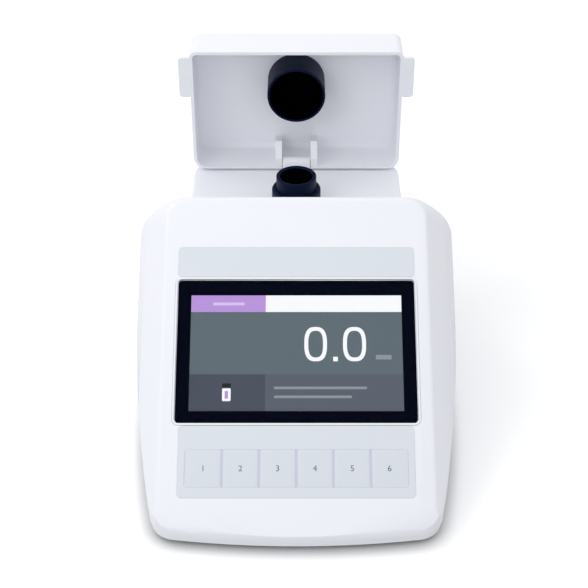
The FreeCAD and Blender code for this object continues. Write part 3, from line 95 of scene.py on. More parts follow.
camera = bpy.data.objects.new("camera", bpy.data.cameras.new("camera"))
bpy.context.scene.collection.objects.link(camera)
camera.location = CAMERA_PLACE
camera.rotation_euler = (math.pi / 2 - CAMERA_PITCH, 0, 0)
camera.data.sensor_width = SENSOR_MM
camera.data.lens = SENSOR_MM * FOCAL_PX / PICTURE
camera.data.shift_x = -(AXIS_PX - PICTURE / 2) / PICTURE
camera.data.clip_start = 0.05
bpy.context.scene.camera = camera
print("lens %.1f mm" % camera.data.lens)

# %% [markdown]
# Materials come next. Each is a Principled surface whose colour, roughness and height follow fine
# noise in Object coordinates, measured in real millimetres. Colours are written as the sRGB
# hexadecimal values that a paint program shows, and one function turns them to linear light. A
# second one adds a node and links it up, so that a material reads as a short list.


# %% Helpers for nodes
def linear(hex_colour):
    """sRGB to linear: below 0.04045 a value is divided by 12.92, and above it is raised to 2.4."""
    srgb = np.array([int(hex_colour[k:k + 2], 16) / 255 for k in (1, 3, 5)])
    low, high = srgb / 12.92, ((srgb + 0.055) / 1.055) ** 2.4
    return tuple(np.where(srgb <= 0.04045, low, high)) + (1.0,)


def add_node(material, kind, inputs=None, **attributes):
    """One node, its attributes set, and each input given a value or linked to (node, output)."""
    node = material.node_tree.nodes.new(kind)
    for attribute, value in attributes.items():
        setattr(node, attribute, value)
    for socket, source in (inputs or {}).items():
        if isinstance(source, tuple) and isinstance(source[0], bpy.types.Node):
            material.node_tree.links.new(source[0].outputs[source[1]], node.inputs[socket])
        else:
            node.inputs[socket].default_value = source
    return node


print("middle grey is %.3f in linear light" % linear("#808080")[0])

# %% [markdown]
# One function makes every finish. A real surface is never one colour at one roughness: its colour
# drifts a little over some millimetres, and a grain breaks up its highlights. Noise gives both
# without an image, and stays sharp from near by.

# %% Helper for finishes
MATERIALS = {}


def finish(name, colour, other, rough, rough_spread, grain_mm, depth_mm, mottle_mm=30, **settings):
    """A surface between two near colours, with noise of two sizes: a slow one of mottle_mm that
    moves the colour, and a fine one of grain_mm that moves the roughness by rough_spread either
    way and is depth_mm high."""
    material = bpy.data.materials.new(name)
    material.use_nodes = True
    material.node_tree.nodes.clear()
    place = add_node(material, "ShaderNodeTexCoord")
    slow = add_node(material, "ShaderNodeTexNoise", {
        "Vector": (place, "Object"), "Scale": 1 / (mottle_mm * MM), "Detail": 3.0})
    fine = add_node(material, "ShaderNodeTexNoise", {
        "Vector": (place, "Object"), "Scale": 1 / (grain_mm * MM), "Detail": 2.0})
    tint = add_node(material, "ShaderNodeMix", {
        0: (slow, "Fac"), 6: linear(colour), 7: linear(other)}, data_type="RGBA")
    gloss = add_node(material, "ShaderNodeMapRange", {
        "Value": (fine, "Fac"), "From Min": 0.25, "From Max": 0.75,
        "To Min": rough - rough_spread, "To Max": rough + rough_spread})
    height = add_node(material, "ShaderNodeBump", {
        "Height": (fine, "Fac"), "Strength": 1.0, "Distance": depth_mm * MM})
    surface = add_node(material, "ShaderNodeBsdfPrincipled", {
        "Base Color": (tint, 2), "Roughness": (gloss, "Result"), "Normal": (height, "Normal"),
        **settings})
    add_node(material, "ShaderNodeOutputMaterial", {"Surface": (surface, "BSDF")})
    MATERIALS[name] = material


print("helper for finishes ready")

# %% [markdown]
# The housing, tray and lid are injection-moulded ABS. The mould is spark eroded, so the white is
# satin: highlights are broad, with a very fine even grain. The real grain is about 0.1 mm, too fine
# to show at this size, so it is drawn at 0.7 mm and a few thousandths high.

# %% Moulded ABS
finish("housing_white", "#F5F6FB", "#F3F4FA", 0.42, 0.05, 0.7, 0.004, IOR=1.53)
print("white ABS ready")

# %% [markdown]
# The panel's film and the key caps are polyester with a velvet hard coat. It scatters more than the
# ABS, so it is rougher, and it is printed a pale grey with a little blue.

# %% Polyester film
finish("panel_film", "#DFE4EB", "#DDE2E9", 0.55, 0.06, 0.5, 0.003, IOR=1.57)
finish("key_film", "#DCE1E8", "#DADFE7", 0.5, 0.05, 0.5, 0.003, IOR=1.57)
finish("web_rubber", "#CFD0E2", "#CCCDE0", 0.6, 0.05, 0.5, 0.003, IOR=1.5)
print("film ready")

# %% [markdown]
# The window is clear glass with a coating against reflections, so it stays dark where the border is
# printed in black on its back. Light that meets a surface of index n head on is reflected by the
# share ((n - 1) / (n + 1)) squared. An index of 1.06 gives 0.1 %, where bare glass gives 4 %.

# %% Coated glass, and the black ink on its back
finish("window_glass", "#FFFFFF", "#FCFEFF", 0.03, 0.01, 6, 0.0002, IOR=1.06,
       **{"Transmission Weight": 1.0})
finish("border_ink", "#060915", "#070A16", 0.5, 0.05, 0.4, 0.001,
       **{"Specular IOR Level": 0.0})
finish("display_module", "#15171C", "#181A20", 0.35, 0.05, 1, 0.002, IOR=1.5)
print("glass ready")

# %% [markdown]
# The port, the light shield and the holders are black so that no stray light reaches the detectors.
# They are moulded with a fine matt grain, slightly blue, and they keep a soft highlight. Their bores
# get painted shade: a blacker material without any shine on their inner faces, which stands in for
# the dark deep inside them.

# %% Black optical plastic, other blacks and rubber
finish("optic_black", "#080F26", "#0A122C", 0.5, 0.06, 0.6, 0.006, IOR=1.55,
       **{"Specular IOR Level": 0.12, "Specular Tint": (0.35, 0.55, 1.0, 1.0)})
# Painted shade: a blacker black without any shine, for the insides of the bores.
finish("bore_painted_shade", "#020206", "#030308", 0.8, 0.05, 0.6, 0.006,
       **{"Specular IOR Level": 0.0})
finish("part_black", "#101013", "#15151A", 0.45, 0.08, 0.5, 0.008, IOR=1.53)
finish("rubber_grey", "#2B2B2E", "#333337", 0.75, 0.08, 0.8, 0.02, IOR=1.52)
finish("block_black", "#131316", "#18181B", 0.45, 0.08, 0.4, 0.006, Metallic=0.8)
print("blacks ready")

# %% [markdown]
# Screws, pins and posts are steel: plated where they are fasteners, ground where they are pins. The
# detector cans are drawn aluminium and the data socket is drawn and nickel plated.

# %% Metals
finish("screw_steel", "#9C9DA1", "#8E8F94", 0.35, 0.1, 0.5, 0.004, 4, Metallic=1.0)
finish("pin_steel", "#BBBCC0", "#B0B1B6", 0.25, 0.07, 0.3, 0.002, 5, Metallic=1.0)
finish("sheet_metal", "#B2B4B8", "#A9ABB0", 0.4, 0.08, 1.5, 0.002, 8, Metallic=1.0)
finish("sensor_can", "#C6C7CA", "#BCBDC2", 0.3, 0.06, 0.5, 0.002, 5, Metallic=1.0)
finish("port_metal", "#C2C4C8", "#B8BABF", 0.28, 0.06, 0.6, 0.002, 5, Metallic=1.0)
print("metals ready")

# %% [markdown]
# The rest sits inside: solder mask over glass fibre, nylon headers, a polyimide ribbon, the lamp's
# glass and its lens.

# %% Boards, ribbon, lamp and lens
finish("board_green", "#1C5235", "#194A30", 0.4, 0.08, 0.8, 0.006, 6, IOR=1.5)
finish("header_cream", "#DAD6C8", "#D3CEBE", 0.5, 0.06, 0.5, 0.005, 8, IOR=1.53)
finish("ribbon_tan", "#B98A4A", "#AD7F42", 0.35, 0.06, 1.0, 0.003, 8, IOR=1.6)
finish("lamp_glass", "#FAFAF4", "#F6F6EE", 0.08, 0.02, 3, 0.001, IOR=1.47,
       **{"Transmission Weight": 0.9})
finish("lens_glass", "#F7FBFD", "#F2F8FB", 0.04, 0.01, 3, 0.0005, IOR=1.52,
       **{"Transmission Weight": 1.0})
print("inner parts ready")

# %% [markdown]
# Each CAD node names its material slot, and the finishes go on by that name.

# %% Finishes onto the CAD nodes
for name, node in NODES.items():
    node.data.materials.clear()
    node.data.materials.append(MATERIALS[SLOT_OF[name]])
print(len(MATERIALS), "materials on", len(NODES), "nodes")

# %% [markdown]
# Every new piece is a surface worked out as arrays. Most are grids, which means one profile carried
# along a path. The vertices are written in the world's own place, so the objects stay at the
# origin and need no turning.


# %% Helpers for meshes
def new_piece(name, points, faces, material, body="root", smooth=30):
    """A mesh from an array of points and lists of corners, its edges kept sharp past an angle."""
    mesh = bpy.data.meshes.new(name)
    mesh.from_pydata(np.asarray(points).reshape(-1, 3).tolist(), [], faces)
    mesh.shade_smooth()
    mesh.set_sharp_from_angle(angle=math.radians(smooth))
    mesh.materials.append(MATERIALS[material])
    piece = bpy.data.objects.new(name, mesh)
    bpy.context.scene.collection.objects.link(piece)
    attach(piece, body)
    return piece


def grid_faces(rows, columns, first=0, closed_rows=False):
    """The quads of a grid whose columns close on themselves. Its rows close too when asked."""
    row = np.arange(rows if closed_rows else rows - 1)[:, None]
    column = np.arange(columns)[None, :]
    after = (column + 1) % columns
    up = (row + 1) % rows
    quads = [row * columns + column, row * columns + after, up * columns + after,
             up * columns + column]
    return (np.stack(quads, axis=-1).reshape(-1, 4) + first).tolist()


print("mesh helpers ready")

# %% [markdown]
# On the panel two builders are enough. A plate is an outline filled up to a thickness, and a band
# is the space between two outlines. Both start from a rectangle with round corners, because
# printed and moulded shapes have them.


# %% Helpers for the panel
def rounded_outline(x, s, width, length, radius, steps=6):
    """A rectangle with round corners: each corner's centre plus the radius times (cosine, sine)."""
    angle = np.linspace(0, math.pi / 2, steps + 1)
    turns = np.concatenate([angle + k * math.pi / 2 for k in range(4)])
    sides = np.repeat([[1, 1], [-1, 1], [-1, -1], [1, -1]], steps + 1, axis=0)
    centre = sides * np.array([width / 2 - radius, length / 2 - radius])
    return centre + radius * np.stack([np.cos(turns), np.sin(turns)], axis=1) + np.array([x, s])


def plate(name, outline, low, high, material):
    """An outline on the panel, filled from n = low to n = high."""
    count = len(outline)
    points = np.concatenate([on_panel(outline[:, 0], outline[:, 1], n) for n in (low, high)])
    faces = grid_faces(2, count) + [list(range(count))[::-1], list(range(count, 2 * count))]
    new_piece(name, points, faces, material)


def band(name, outer, inner, low, high, material):
    """The space between two outlines of equally many points, from n = low to n = high."""
    loops = [(outer, low), (outer, high), (inner, high), (inner, low)]
    points = np.concatenate([on_panel(line[:, 0], line[:, 1], n) for line, n in loops])
    new_piece(name, points, grid_faces(4, len(outer), closed_rows=True), material)


print("panel helpers ready")

# %% [markdown]
# The CAD shells come as loose triangles, which shade in facets. Each large one is replaced by a
# merged copy: doubles joined, flat areas made one face, and a small bevel on the edges, because a
# real moulding has no knife edges and its rounded edges catch the light.

# %% Moulded shells with softened edges
MERGE_REACH = 1e-6
FLAT_ANGLE, SHARP_ANGLE = math.radians(0.3), math.radians(32)
BEVEL_STEPS = 3
BEVELS_MM = {"upper_shell": 0.4, "base_tray": 0.5, "lid_shell": 0.5, "light_shield_tube": 0.3,
             "sample_well": 0.2, "port_ring": 0.3, "hinge_block": 0.4, "display_frame": 0.2,
             "rubber_feet": 0.3, "power_switch_body": 0.3, "power_rocker": 0.3}


def moulding(node, bevel_mm):
    """A merged copy of a CAD node whose edges past an angle get a bevel."""
    mesh = NODES[node].data.copy()
    work = bmesh.new()
    work.from_mesh(mesh)
    bmesh.ops.remove_doubles(work, verts=work.verts, dist=MERGE_REACH)
    bmesh.ops.dissolve_limit(work, angle_limit=FLAT_ANGLE, verts=work.verts, edges=work.edges)
    for face in work.faces:
        face.smooth = True
    work.to_mesh(mesh)
    work.free()
    mesh.set_sharp_from_angle(angle=SHARP_ANGLE)
    piece = bpy.data.objects.new(node + "_moulding", mesh)
    bpy.context.scene.collection.objects.link(piece)
    bevel = piece.modifiers.new("edge", "BEVEL")
    bevel.limit_method = "ANGLE"
    bevel.angle_limit = SHARP_ANGLE
    bevel.width = bevel_mm * MM
    bevel.segments = BEVEL_STEPS
    bevel.harden_normals = True
    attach(piece, BODY_OF[node])
    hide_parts(node)
    return piece


for node, bevel_mm in BEVELS_MM.items():
    piece = moulding(node, bevel_mm)
    print(piece.name, len(piece.data.polygons), "faces")

# %% [markdown]
# The light shield's tube and the sample well get painted shade on the faces of their bores: the
# blacker material without shine.
# Those faces are picked by measure: all their corners lie within the bore's radius of its axis.

# %% Painted shade in the two bores
TUBE_BORE_MM, WELL_BORE_MM, BORE_MARGIN_MM = 21.45, 12.75, 0.15
Y_AXIS, Z_AXIS = 1, 2


def paint_bore_shade(node, axis, radius_mm):
    """Paints shade into a bore: all faces whose corners lie within its radius of the piece's middle
    axis get the blacker material.
    """
    mesh = bpy.data.objects[node + "_moulding"].data
    mesh.materials.append(MATERIALS["bore_painted_shade"])
    corners = np.array([vertex.co for vertex in mesh.vertices])
    offset = corners - (corners.max(axis=0) + corners.min(axis=0)) / 2
    offset[:, axis] = 0
    inside = np.linalg.norm(offset, axis=1) < (radius_mm + BORE_MARGIN_MM) * MM
    for face in mesh.polygons:
        if inside[list(face.vertices)].all():
            face.material_index = 1
    print(node, sum(face.material_index for face in mesh.polygons), "faces lined")


paint_bore_shade("light_shield_tube", Y_AXIS, TUBE_BORE_MM)
paint_bore_shade("sample_well", Z_AXIS, WELL_BORE_MM)

# %% [markdown]
# The keys are soft caps in nearly the same grey as the film. Each is pillowed: flat in its middle
# and rolled down at its rim. Its fall is a power of the way out from the centre, so the middle
# stays flat and the rim falls. A bevel would have one width and one roundness on every side.

# %% The shape of a key cap
KEYS = 6
KEY_PITCH, KEY_S, KEY_LENGTH, KEY_CORNER = 26.2, 47.9, 27.0, 0.6
KEY_TOP, KEY_UNDER, KEY_ROLL, KEY_FALL = 0.5, -1.1, 0.5, 0.28
KEY_RIM, KEY_GAP = 0.12, 0.85
RINGS, RING_CROWDING, FILM_POWER, GAP_POWER = 16, 0.4, 5, 16


def key_x(number):
    """The middle of a key, counted from 0 at the left."""
    return (number - (KEYS - 1) / 2) * KEY_PITCH


def key_points(x, left_gap, right_gap):
    """Rings that shrink from the rim to the centre. Height is the top less two falls: a short one
    towards the neighbouring keys, and a gentle one towards the film. Each grows as a power of the
    share of the way from the middle to that side."""
    width = KEY_PITCH - left_gap - right_gap
    outline = rounded_outline(0, 0, width, KEY_LENGTH, KEY_CORNER)
    share = np.linspace(1, 0, RINGS) ** RING_CROWDING
    flat = share[:-1, None, None] * outline[None]
    across = 2 * flat[..., 0] / width
    along = np.abs(2 * flat[..., 1] / KEY_LENGTH)
    to_film = (across < 0) * (left_gap == KEY_RIM) + (across > 0) * (right_gap == KEY_RIM)
    film_side = along ** FILM_POWER + to_film * np.abs(across) ** FILM_POWER
    key_side = (1 - to_film) * np.abs(across) ** GAP_POWER
    height = KEY_TOP - KEY_FALL * np.minimum(film_side, 1) - (KEY_ROLL - KEY_FALL) * key_side
    middle = x + (left_gap - right_gap) / 2
    top = on_panel(flat[..., 0] + middle, flat[..., 1] + KEY_S, height)
    under = on_panel(outline[:, 0] + middle, outline[:, 1] + KEY_S, KEY_UNDER)
    return np.concatenate([under[None], top]), middle


print("key middles at x =", [round(key_x(number), 1) for number in range(KEYS)])

# %% [markdown]
# Each cap goes down to its switch by a round stem. Between the caps lies a soft web, a shade more
# lilac, which the eye takes for the faint lines between the keys. Each key's share of the web is a
# band from the edge of its cell to just outside the cap, and the six shares lie edge to edge.

# %% Six caps and the web between them
STEM_RADIUS, STEM_END, STEM_OVERLAP, STEM_SIDES = 3.5, -6.1, 0.1, 24
WEB_GAP, WEB_TOP, WEB_UNDER, WEB_CORNER = 0.04, 0.1, -0.9, 0.05
SEAT_HALF, SEAT_LENGTH = 78.84, 27.18

for number in range(KEYS):
    x = key_x(number)
    first, last = number == 0, number == KEYS - 1
    gaps = (KEY_RIM if first else KEY_GAP, KEY_RIM if last else KEY_GAP)
    points, middle = key_points(x, *gaps)
    rows, columns = points.shape[:2]
    faces = grid_faces(rows, columns)
    faces.append(list(range((rows - 1) * columns, rows * columns)))
    faces.append(list(range(columns))[::-1])
    turn = np.linspace(0, 2 * math.pi, STEM_SIDES, endpoint=False)
    stem = np.stack([on_panel(x + STEM_RADIUS * np.cos(turn), KEY_S + STEM_RADIUS * np.sin(turn), n)
                     for n in (STEM_END, KEY_UNDER + STEM_OVERLAP)])
    low_ring = rows * columns
    high_ring = low_ring + STEM_SIDES
    faces += grid_faces(2, STEM_SIDES, low_ring)
    faces += [list(range(low_ring, high_ring))[::-1],
              list(range(high_ring, high_ring + STEM_SIDES))]
    node = "key_%d" % (number + 1)
    cap = new_piece(node + "_cap", np.concatenate([points.reshape(-1, 3), stem.reshape(-1, 3)]),
                    faces, "key_film", BODY_OF[node], smooth=50)
    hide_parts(node)
    low = -SEAT_HALF if first else x - KEY_PITCH / 2
    high = SEAT_HALF if last else x + KEY_PITCH / 2
    cell = rounded_outline((low + high) / 2, KEY_S, high - low, SEAT_LENGTH, WEB_CORNER)
    hole = rounded_outline(middle, KEY_S, KEY_PITCH - sum(gaps) + 2 * WEB_GAP,
                           KEY_LENGTH + 2 * WEB_GAP, KEY_CORNER)
    band("key_web_%d" % (number + 1), cell, hole, WEB_UNDER, WEB_TOP, "web_rubber")
print("six caps, roll %.2f mm" % KEY_ROLL)

# %% [markdown]
# Each key carries a plain number, printed in grey. Printing is a film of ink, so the number is text
# turned into a mesh a few hundredths of a millimetre thick and laid on the cap.

# %% Key numbers
finish("legend_ink", "#5B5F6B", "#60646F", 0.5, 0.05, 0.4, 0.001)
NUMBER_MM = 6.0
INK_MIDDLE, INK_HALF = 0.012, 0.02


def text_mesh(words, size_mm):
    """The outline of some text as points (x, y) in millimetres about its own middle, and faces."""
    curve = bpy.data.curves.new("words", "FONT")
    curve.body = words
    curve.size = size_mm
    curve.extrude = 0.5
    curve.resolution_u = 3  # a coarse curve is smooth enough at this size
    holder = bpy.data.objects.new("words", curve)
    mesh = bpy.data.meshes.new_from_object(holder)
    points = np.array([vertex.co for vertex in mesh.vertices])
    faces = [list(face.vertices) for face in mesh.polygons]
    bpy.data.objects.remove(holder)
    middle = (points.max(axis=0) + points.min(axis=0)) / 2
    return points - middle, faces


for number in range(KEYS):
    points, faces = text_mesh(str(number + 1), NUMBER_MM)
    lift = KEY_TOP + INK_MIDDLE + np.where(points[:, 2] > 0, INK_HALF, -INK_HALF)
    laid = on_panel(points[:, 0] + key_x(number), points[:, 1] + KEY_S, lift)
    new_piece("key_%d_number" % (number + 1), laid, faces, "legend_ink",
              BODY_OF["key_%d" % (number + 1)])
print("numbers 1 to 6")

# %% [markdown]
# The power switch at the back carries the two usual signs, a bar and a ring. The rocker is bent in
# the middle, so each sign lies on its own half, in the frame of that half.

# %% The rocker's own frame
PIVOT = next(np.array(joint["pos_m"]) / MM for joint in frame["record"]["behaviour"]["joints"]
             if joint["name"] == "power_rocker_pivot")
ROCKER_TILT = math.radians(8)
CREASE, HALF_END, HALF_LENGTH = 3.6, 4.4, 6.6


def on_rocker(across, along, out, side):
    """Millimetres on one half of the rocker to metres in the world. The half runs from the crease
    at the pivot's height to its end, and the whole rocker is turned by its tilt."""
    run = math.hypot(HALF_LENGTH, HALF_END - CREASE)
    slope, rise = (HALF_END - CREASE) / run, HALF_LENGTH / run
    y = CREASE + along * slope + out * rise
    z = side * (along * rise - out * slope)
    cosine, sine = math.cos(ROCKER_TILT), math.sin(ROCKER_TILT)
    return (PIVOT + np.stack([across, y * cosine - z * sine, y * sine + z * cosine], axis=-1)) * MM


print("rocker's pivot in mm:", PIVOT.round(2))

# %% [markdown]
# A sign is a band of white ink, a few hundredths of a millimetre high, between two outlines. The
# bar has no hole, so its inner outline is drawn in almost to a point.

# %% Signs on the power switch
finish("sign_white", "#D9DADD", "#D2D3D7", 0.5, 0.05, 0.4, 0.001)
SIGN_PLACE, SIGN_RADIUS, SIGN_STROKE = 3.7, 1.5, 0.5
SIGN_HEIGHT, SLIVER, CORNER, SHORT_OF_ROUND, CURVE_STEPS = 0.03, 0.001, 0.05, 0.01, 12


def sign(name, outer, inner, side):
    """A flat printed band between two outlines on one half of the rocker."""
    loops = [(outer, 0.0), (outer, SIGN_HEIGHT), (inner, SIGN_HEIGHT), (inner, 0.0)]
    points = np.concatenate([on_rocker(line[:, 0], line[:, 1], out, side) for line, out in loops])
    faces = grid_faces(4, len(outer), closed_rows=True)
    if side > 0:
        faces = [corners[::-1] for corners in faces]
    new_piece(name, points, faces, "sign_white", BODY_OF["power_rocker"])


def round_outline(radius):
    """A circle about the sign's place, but for a hundredth of a millimetre between its corners."""
    return rounded_outline(0, SIGN_PLACE, 2 * radius, 2 * radius, radius - SHORT_OF_ROUND,
                           CURVE_STEPS)


bar = rounded_outline(0, SIGN_PLACE, SIGN_STROKE, 2 * SIGN_RADIUS, CORNER)
sign("rocker_bar", bar, bar * SLIVER + np.array([0, SIGN_PLACE]), 1)
sign("rocker_ring", round_outline(SIGN_RADIUS), round_outline(SIGN_RADIUS - SIGN_STROKE), -1)
print("a bar and a ring on the rocker")

# %% [markdown]
# Behind the glass is a 7 inch colour display. Its picture is made of flat fields that glow: a
# heading bar with a lilac tab, a grey field with the reading in thin digits, and a lower band with
# a small vial sign. Real fields keep the reading sharp at any distance, which an image would not.

# %% Display materials
SCREEN_COLOURS = {"screen_lilac": "#B892D9", "screen_white": "#F8F9FC", "screen_grey": "#5C6870",
                  "screen_low_left": "#464C58", "screen_low_right": "#575D68",
                  "screen_dark": "#12121C", "screen_faint": "#8C929B",
                  "screen_pale_lilac": "#D5C3E8"}
GLOW_SPREAD, GLOW_PATCH_MM = 0.01, 3


def glow(name, colour):
    """A lit field: a black surface that emits its own colour at a strength of 1, a hundredth more
    or less from place to place."""
    material = bpy.data.materials.new(name)
    material.use_nodes = True
    material.node_tree.nodes.clear()
    place = add_node(material, "ShaderNodeTexCoord")
    pixels = add_node(material, "ShaderNodeTexNoise", {
        "Vector": (place, "Object"), "Scale": 1 / (GLOW_PATCH_MM * MM), "Detail": 0.0})
    red, green, blue, _ = linear(colour)
    low, high = 1 - GLOW_SPREAD, 1 + GLOW_SPREAD
    tint = add_node(material, "ShaderNodeMix", {
        0: (pixels, "Fac"), 6: (red * low, green * low, blue * low, 1.0),
        7: (red * high, green * high, blue * high, 1.0)}, data_type="RGBA")
    surface = add_node(material, "ShaderNodeBsdfPrincipled", {
        "Base Color": (0.01, 0.01, 0.012, 1), "Roughness": 0.6, "Emission Color": (tint, 2),
        "Emission Strength": 1.0, "Specular IOR Level": 0.1})
    add_node(material, "ShaderNodeOutputMaterial", {"Surface": (surface, "BSDF")})
    MATERIALS[name] = material


for name, colour in SCREEN_COLOURS.items():
    glow(name, colour)
print("screen colours ready")

# %% [markdown]
# The fields lie in thin layers on the display's face, 3 mm under the panel: first the fields, then
# the marks on them, then what lies on a mark. The border is a layer of ink on the glass's back.

# %% Display border and fields
LIT_X, LIT_LOW, LIT_HIGH, LIT_CORNER = 77.1, 89.6, 177.1, 0.4
WINDOW_S, WINDOW_WIDTH, WINDOW_LENGTH, WINDOW_CORNER = 134.55, 173.4, 107.3, 2.7
HEAD_S, BAND_S, SPLIT_X = 164.3, 117.1, -22.4
LCD_FACE = -3.0
FIELD_N = (LCD_FACE, LCD_FACE + 0.04)
MARK_N = (LCD_FACE + 0.05, LCD_FACE + 0.08)
TOP_MARK_N = (MARK_N[1] + 0.01, MARK_N[1] + 0.03)
BORDER_N = (-1.79, -1.77)


def field(name, left, right, low, high, material, levels=FIELD_N, radius=0.05):
    """A lit rectangle between two x and two s."""
    outline = rounded_outline((left + right) / 2, (low + high) / 2, right - left, high - low,
                              radius, steps=4)
    plate(name, outline, levels[0], levels[1], material)


window = rounded_outline(0, WINDOW_S, WINDOW_WIDTH, WINDOW_LENGTH, WINDOW_CORNER)
opening = rounded_outline(0, (LIT_LOW + LIT_HIGH) / 2, 2 * LIT_X, LIT_HIGH - LIT_LOW, LIT_CORNER)
band("window_border", window, opening, BORDER_N[0], BORDER_N[1], "border_ink")
field("screen_tab", -LIT_X, SPLIT_X, HEAD_S, LIT_HIGH, "screen_lilac")
field("screen_bar", SPLIT_X, LIT_X, HEAD_S, LIT_HIGH, "screen_white")
field("screen_main", -LIT_X, LIT_X, BAND_S, HEAD_S, "screen_grey")
field("screen_band_left", -LIT_X, SPLIT_X, LIT_LOW, BAND_S, "screen_low_left")
field("screen_band_right", SPLIT_X, LIT_X, LIT_LOW, BAND_S, "screen_low_right")
print("border and five fields")

# %% [markdown]
# The reading is two thin noughts and a point. A nought is a band between two ovals, the inner one
# smaller by the stroke on every side.

# %% Reading, vial sign and lines
STROKE, OVAL_POWER, OVAL_SIDES = 2.9, 2.7, 96
NOUGHT_S, NOUGHT_LENGTH = 139.8, 26.0
NOUGHTS = {"left": (5.8, 22.3), "right": (33.9, 50.7)}  # from x to x
MARKS = [  # name, left, right, low, high, material, layer, corner
    ("screen_point", 26.7, 30.1, 126.8, 130.2, "screen_white", MARK_N, 0.3),
    ("screen_unit", 57.6, 69.0, 128.2, 131.6, "screen_faint", MARK_N, 0.5),
    ("screen_tab_line", -61, -38, 169.4, 171.6, "screen_pale_lilac", MARK_N, 0.5),
    ("screen_vial", -53.3, -47.1, 97.2, 106.6, "screen_white", MARK_N, 0.8),
    ("screen_vial_cap", -53.3, -47.1, 107.4, 110.3, "screen_dark", MARK_N, 0.4),
    ("screen_vial_mark", -51.4, -49.0, 99.0, 104.6, "screen_lilac", TOP_MARK_N, 0.3),
    ("screen_line_1", -16.0, 50.8, 106.0, 107.9, "screen_faint", MARK_N, 0.4),
    ("screen_line_2", -16.0, 39.9, 99.4, 101.3, "screen_faint", MARK_N, 0.4),
]


def oval(x, s, width, length):
    """A superellipse: cosine and sine, each raised to 2 over the power, with its sign kept."""
    turn = np.linspace(0, 2 * math.pi, OVAL_SIDES, endpoint=False)
    reach = np.stack([np.cos(turn), np.sin(turn)], axis=1)
    shape = np.sign(reach) * np.abs(reach) ** (2 / OVAL_POWER)
    return shape * np.array([width, length]) / 2 + np.array([x, s])


for label, (left, right) in NOUGHTS.items():
    middle, width = (left + right) / 2, right - left
    outer = oval(middle, NOUGHT_S, width, NOUGHT_LENGTH)
    inner = oval(middle, NOUGHT_S, width - 2 * STROKE, NOUGHT_LENGTH - 2 * STROKE)
    band("screen_nought_" + label, outer, inner, MARK_N[0], MARK_N[1], "screen_white")
for mark in MARKS:
    field(*mark)
print("reading 0.0 and its signs")

# %% [markdown]
# The photograph has a plain white ground. A floor as white as that would overlight the meter, so
# its whiteness is kept for the rays that show it: those from the camera, and those that gloss or
# glass sends on. The Light Path node says which ray asks.


# %% Which rays see the white ground
def seen_rays(owner):
    """1 for rays from the camera and for those that gloss or glass sends on, and 0 for the rest."""
    rays = add_node(owner, "ShaderNodeLightPath")
    bent = add_node(owner, "ShaderNodeMath", {
        0: (rays, "Is Glossy Ray"), 1: (rays, "Is Transmission Ray")}, operation="MAXIMUM")
    return add_node(owner, "ShaderNodeMath", {
        0: (rays, "Is Camera Ray"), 1: (bent, "Value")}, operation="MAXIMUM")


print("white for camera, glossy and transmission rays")

# %% [markdown]
# To all other rays the floor is grey paper. To those that see it white it adds a little light of its
# own, more with distance, so that the ground comes out white up to the picture's edge. The thin
# shadow at the foot of the meter is painted: a point of the floor with something within
# CONTACT_REACH of it has its colour and its added light darkened by as much of its sky as that
# hides.

# %% Floor
WHITE, BLACK, BOUNCE = (1.0, 1.0, 1.0, 1.0), (0.0, 0.0, 0.0, 1.0), linear("#C8C8CA")
REACH = 6.0
GLOW_NEAR, GLOW_FAR = 0.15, 0.6
NEAR_RADIUS, FAR_RADIUS = 0.3, 2.5
CONTACT_REACH, CONTACT_POWER = 0.013, 0.75

floor_mesh = bpy.data.meshes.new("floor")
floor_mesh.from_pydata([(-REACH, -REACH, 0), (REACH, -REACH, 0), (REACH, REACH, 0),
                        (-REACH, REACH, 0)], [], [(0, 1, 2, 3)])
floor = bpy.data.objects.new("floor", floor_mesh)
bpy.context.scene.collection.objects.link(floor)
ground = bpy.data.materials.new("floor_paper")
ground.use_nodes = True
ground.node_tree.nodes.clear()
seen = seen_rays(ground)
place = add_node(ground, "ShaderNodeTexCoord")
distance = add_node(ground, "ShaderNodeVectorMath", {0: (place, "Object")}, operation="LENGTH")
lift = add_node(ground, "ShaderNodeMapRange", {
    "Value": (distance, "Value"), "From Min": NEAR_RADIUS, "From Max": FAR_RADIUS,
    "To Min": GLOW_NEAR, "To Max": GLOW_FAR})
# Painted contact shadow: where something stands within CONTACT_REACH, the floor's colour and its
# added light are darkened by how much of its sky is hidden.
open_sky = add_node(ground, "ShaderNodeAmbientOcclusion", {"Distance": CONTACT_REACH}, samples=8)
openness = add_node(ground, "ShaderNodeMath", {0: (open_sky, "AO"), 1: CONTACT_POWER},
                    operation="POWER")
glow_seen = add_node(ground, "ShaderNodeMath", {0: (seen, "Value"), 1: (lift, "Result")},
                     operation="MULTIPLY")
strength = add_node(ground, "ShaderNodeMath", {0: (glow_seen, "Value"), 1: (openness, "Value")},
                    operation="MULTIPLY")
painted_contact_shadow = add_node(ground, "ShaderNodeMix", {
    0: (openness, "Value"), 6: BLACK, 7: WHITE}, data_type="RGBA")
shade = add_node(ground, "ShaderNodeMix", {
    0: (seen, "Value"), 6: BOUNCE, 7: (painted_contact_shadow, 2)}, data_type="RGBA")
paper = add_node(ground, "ShaderNodeBsdfDiffuse", {"Color": (shade, 2)})
added = add_node(ground, "ShaderNodeEmission", {"Color": WHITE, "Strength": (strength, "Value")})
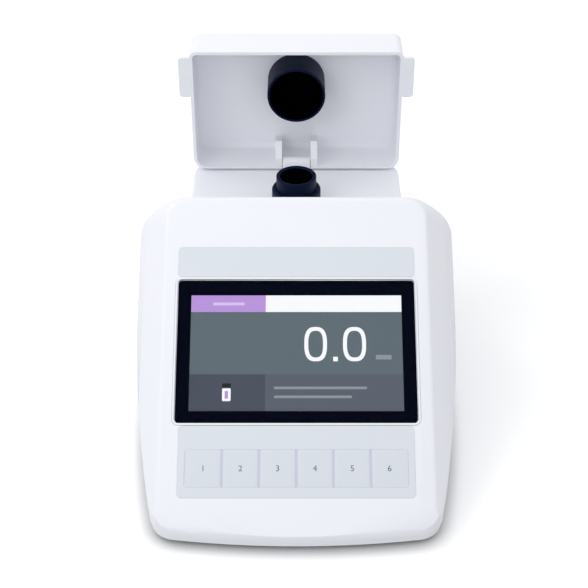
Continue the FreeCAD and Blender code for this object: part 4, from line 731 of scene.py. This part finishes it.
both = add_node(ground, "ShaderNodeAddShader", {0: (paper, "BSDF"), 1: (added, "Emission")})
add_node(ground, "ShaderNodeOutputMaterial", {"Surface": (both, "Shader")})
floor_mesh.materials.append(ground)
print("floor ready")

# %% [markdown]
# The light is soft and comes from high on the left. Most of it is an even sky. Four large lamps
# give the panel, the deck, the left flank and the lid's inside the levels of the photograph.

# %% Light
SKY, SKY_COLOUR = 0.74, (0.97, 0.98, 1.0, 1.0)
world = bpy.data.worlds.new("studio")
bpy.context.scene.world = world
world.use_nodes = True
world.node_tree.nodes.clear()
level = add_node(world, "ShaderNodeMapRange", {"Value": (seen_rays(world), "Value"),
                                              "To Min": SKY, "To Max": 1.0})
light = add_node(world, "ShaderNodeBackground", {"Color": SKY_COLOUR,
                                                "Strength": (level, "Result")})
add_node(world, "ShaderNodeOutputWorld", {"Surface": (light, "Background")})


def lamp(name, place, target, size, watts):
    """A soft rectangular lamp turned towards a point."""
    data = bpy.data.lights.new(name, "AREA")
    data.shape = "RECTANGLE"
    data.size, data.size_y = size
    data.energy = watts
    holder = bpy.data.objects.new(name, data)
    bpy.context.scene.collection.objects.link(holder)
    holder.location = place
    holder.rotation_euler = (Vector(target) - Vector(place)).to_track_quat("-Z", "Y").to_euler()


MIDDLE = (0, 0, 0.1)
LAMPS = [  # name, place, width and length, watts
    ("lamp_left", (-1.0, -1.0, 1.15), (0.9, 0.9), 4.0),
    ("lamp_top", (0.0, 0.2, 1.0), (0.9, 0.9), 0.9),
    ("lamp_side", (-0.8, 0.2, 1.3), (0.6, 0.6), 2.8),
    ("lamp_front", (-0.2, -1.7, 1.0), (1.0, 0.7), 1.7),
]
for name, place, size, watts in LAMPS:
    lamp(name, place, MIDDLE, size, watts)
print("four lamps and a sky of", SKY)

# %% [markdown]
# The Standard view shows a colour as it was written, so the hexadecimal values above can be set
# against a photograph directly.

# %% View settings
bpy.context.scene.view_settings.view_transform = "Standard"
print("view transform:", bpy.context.scene.view_settings.view_transform)
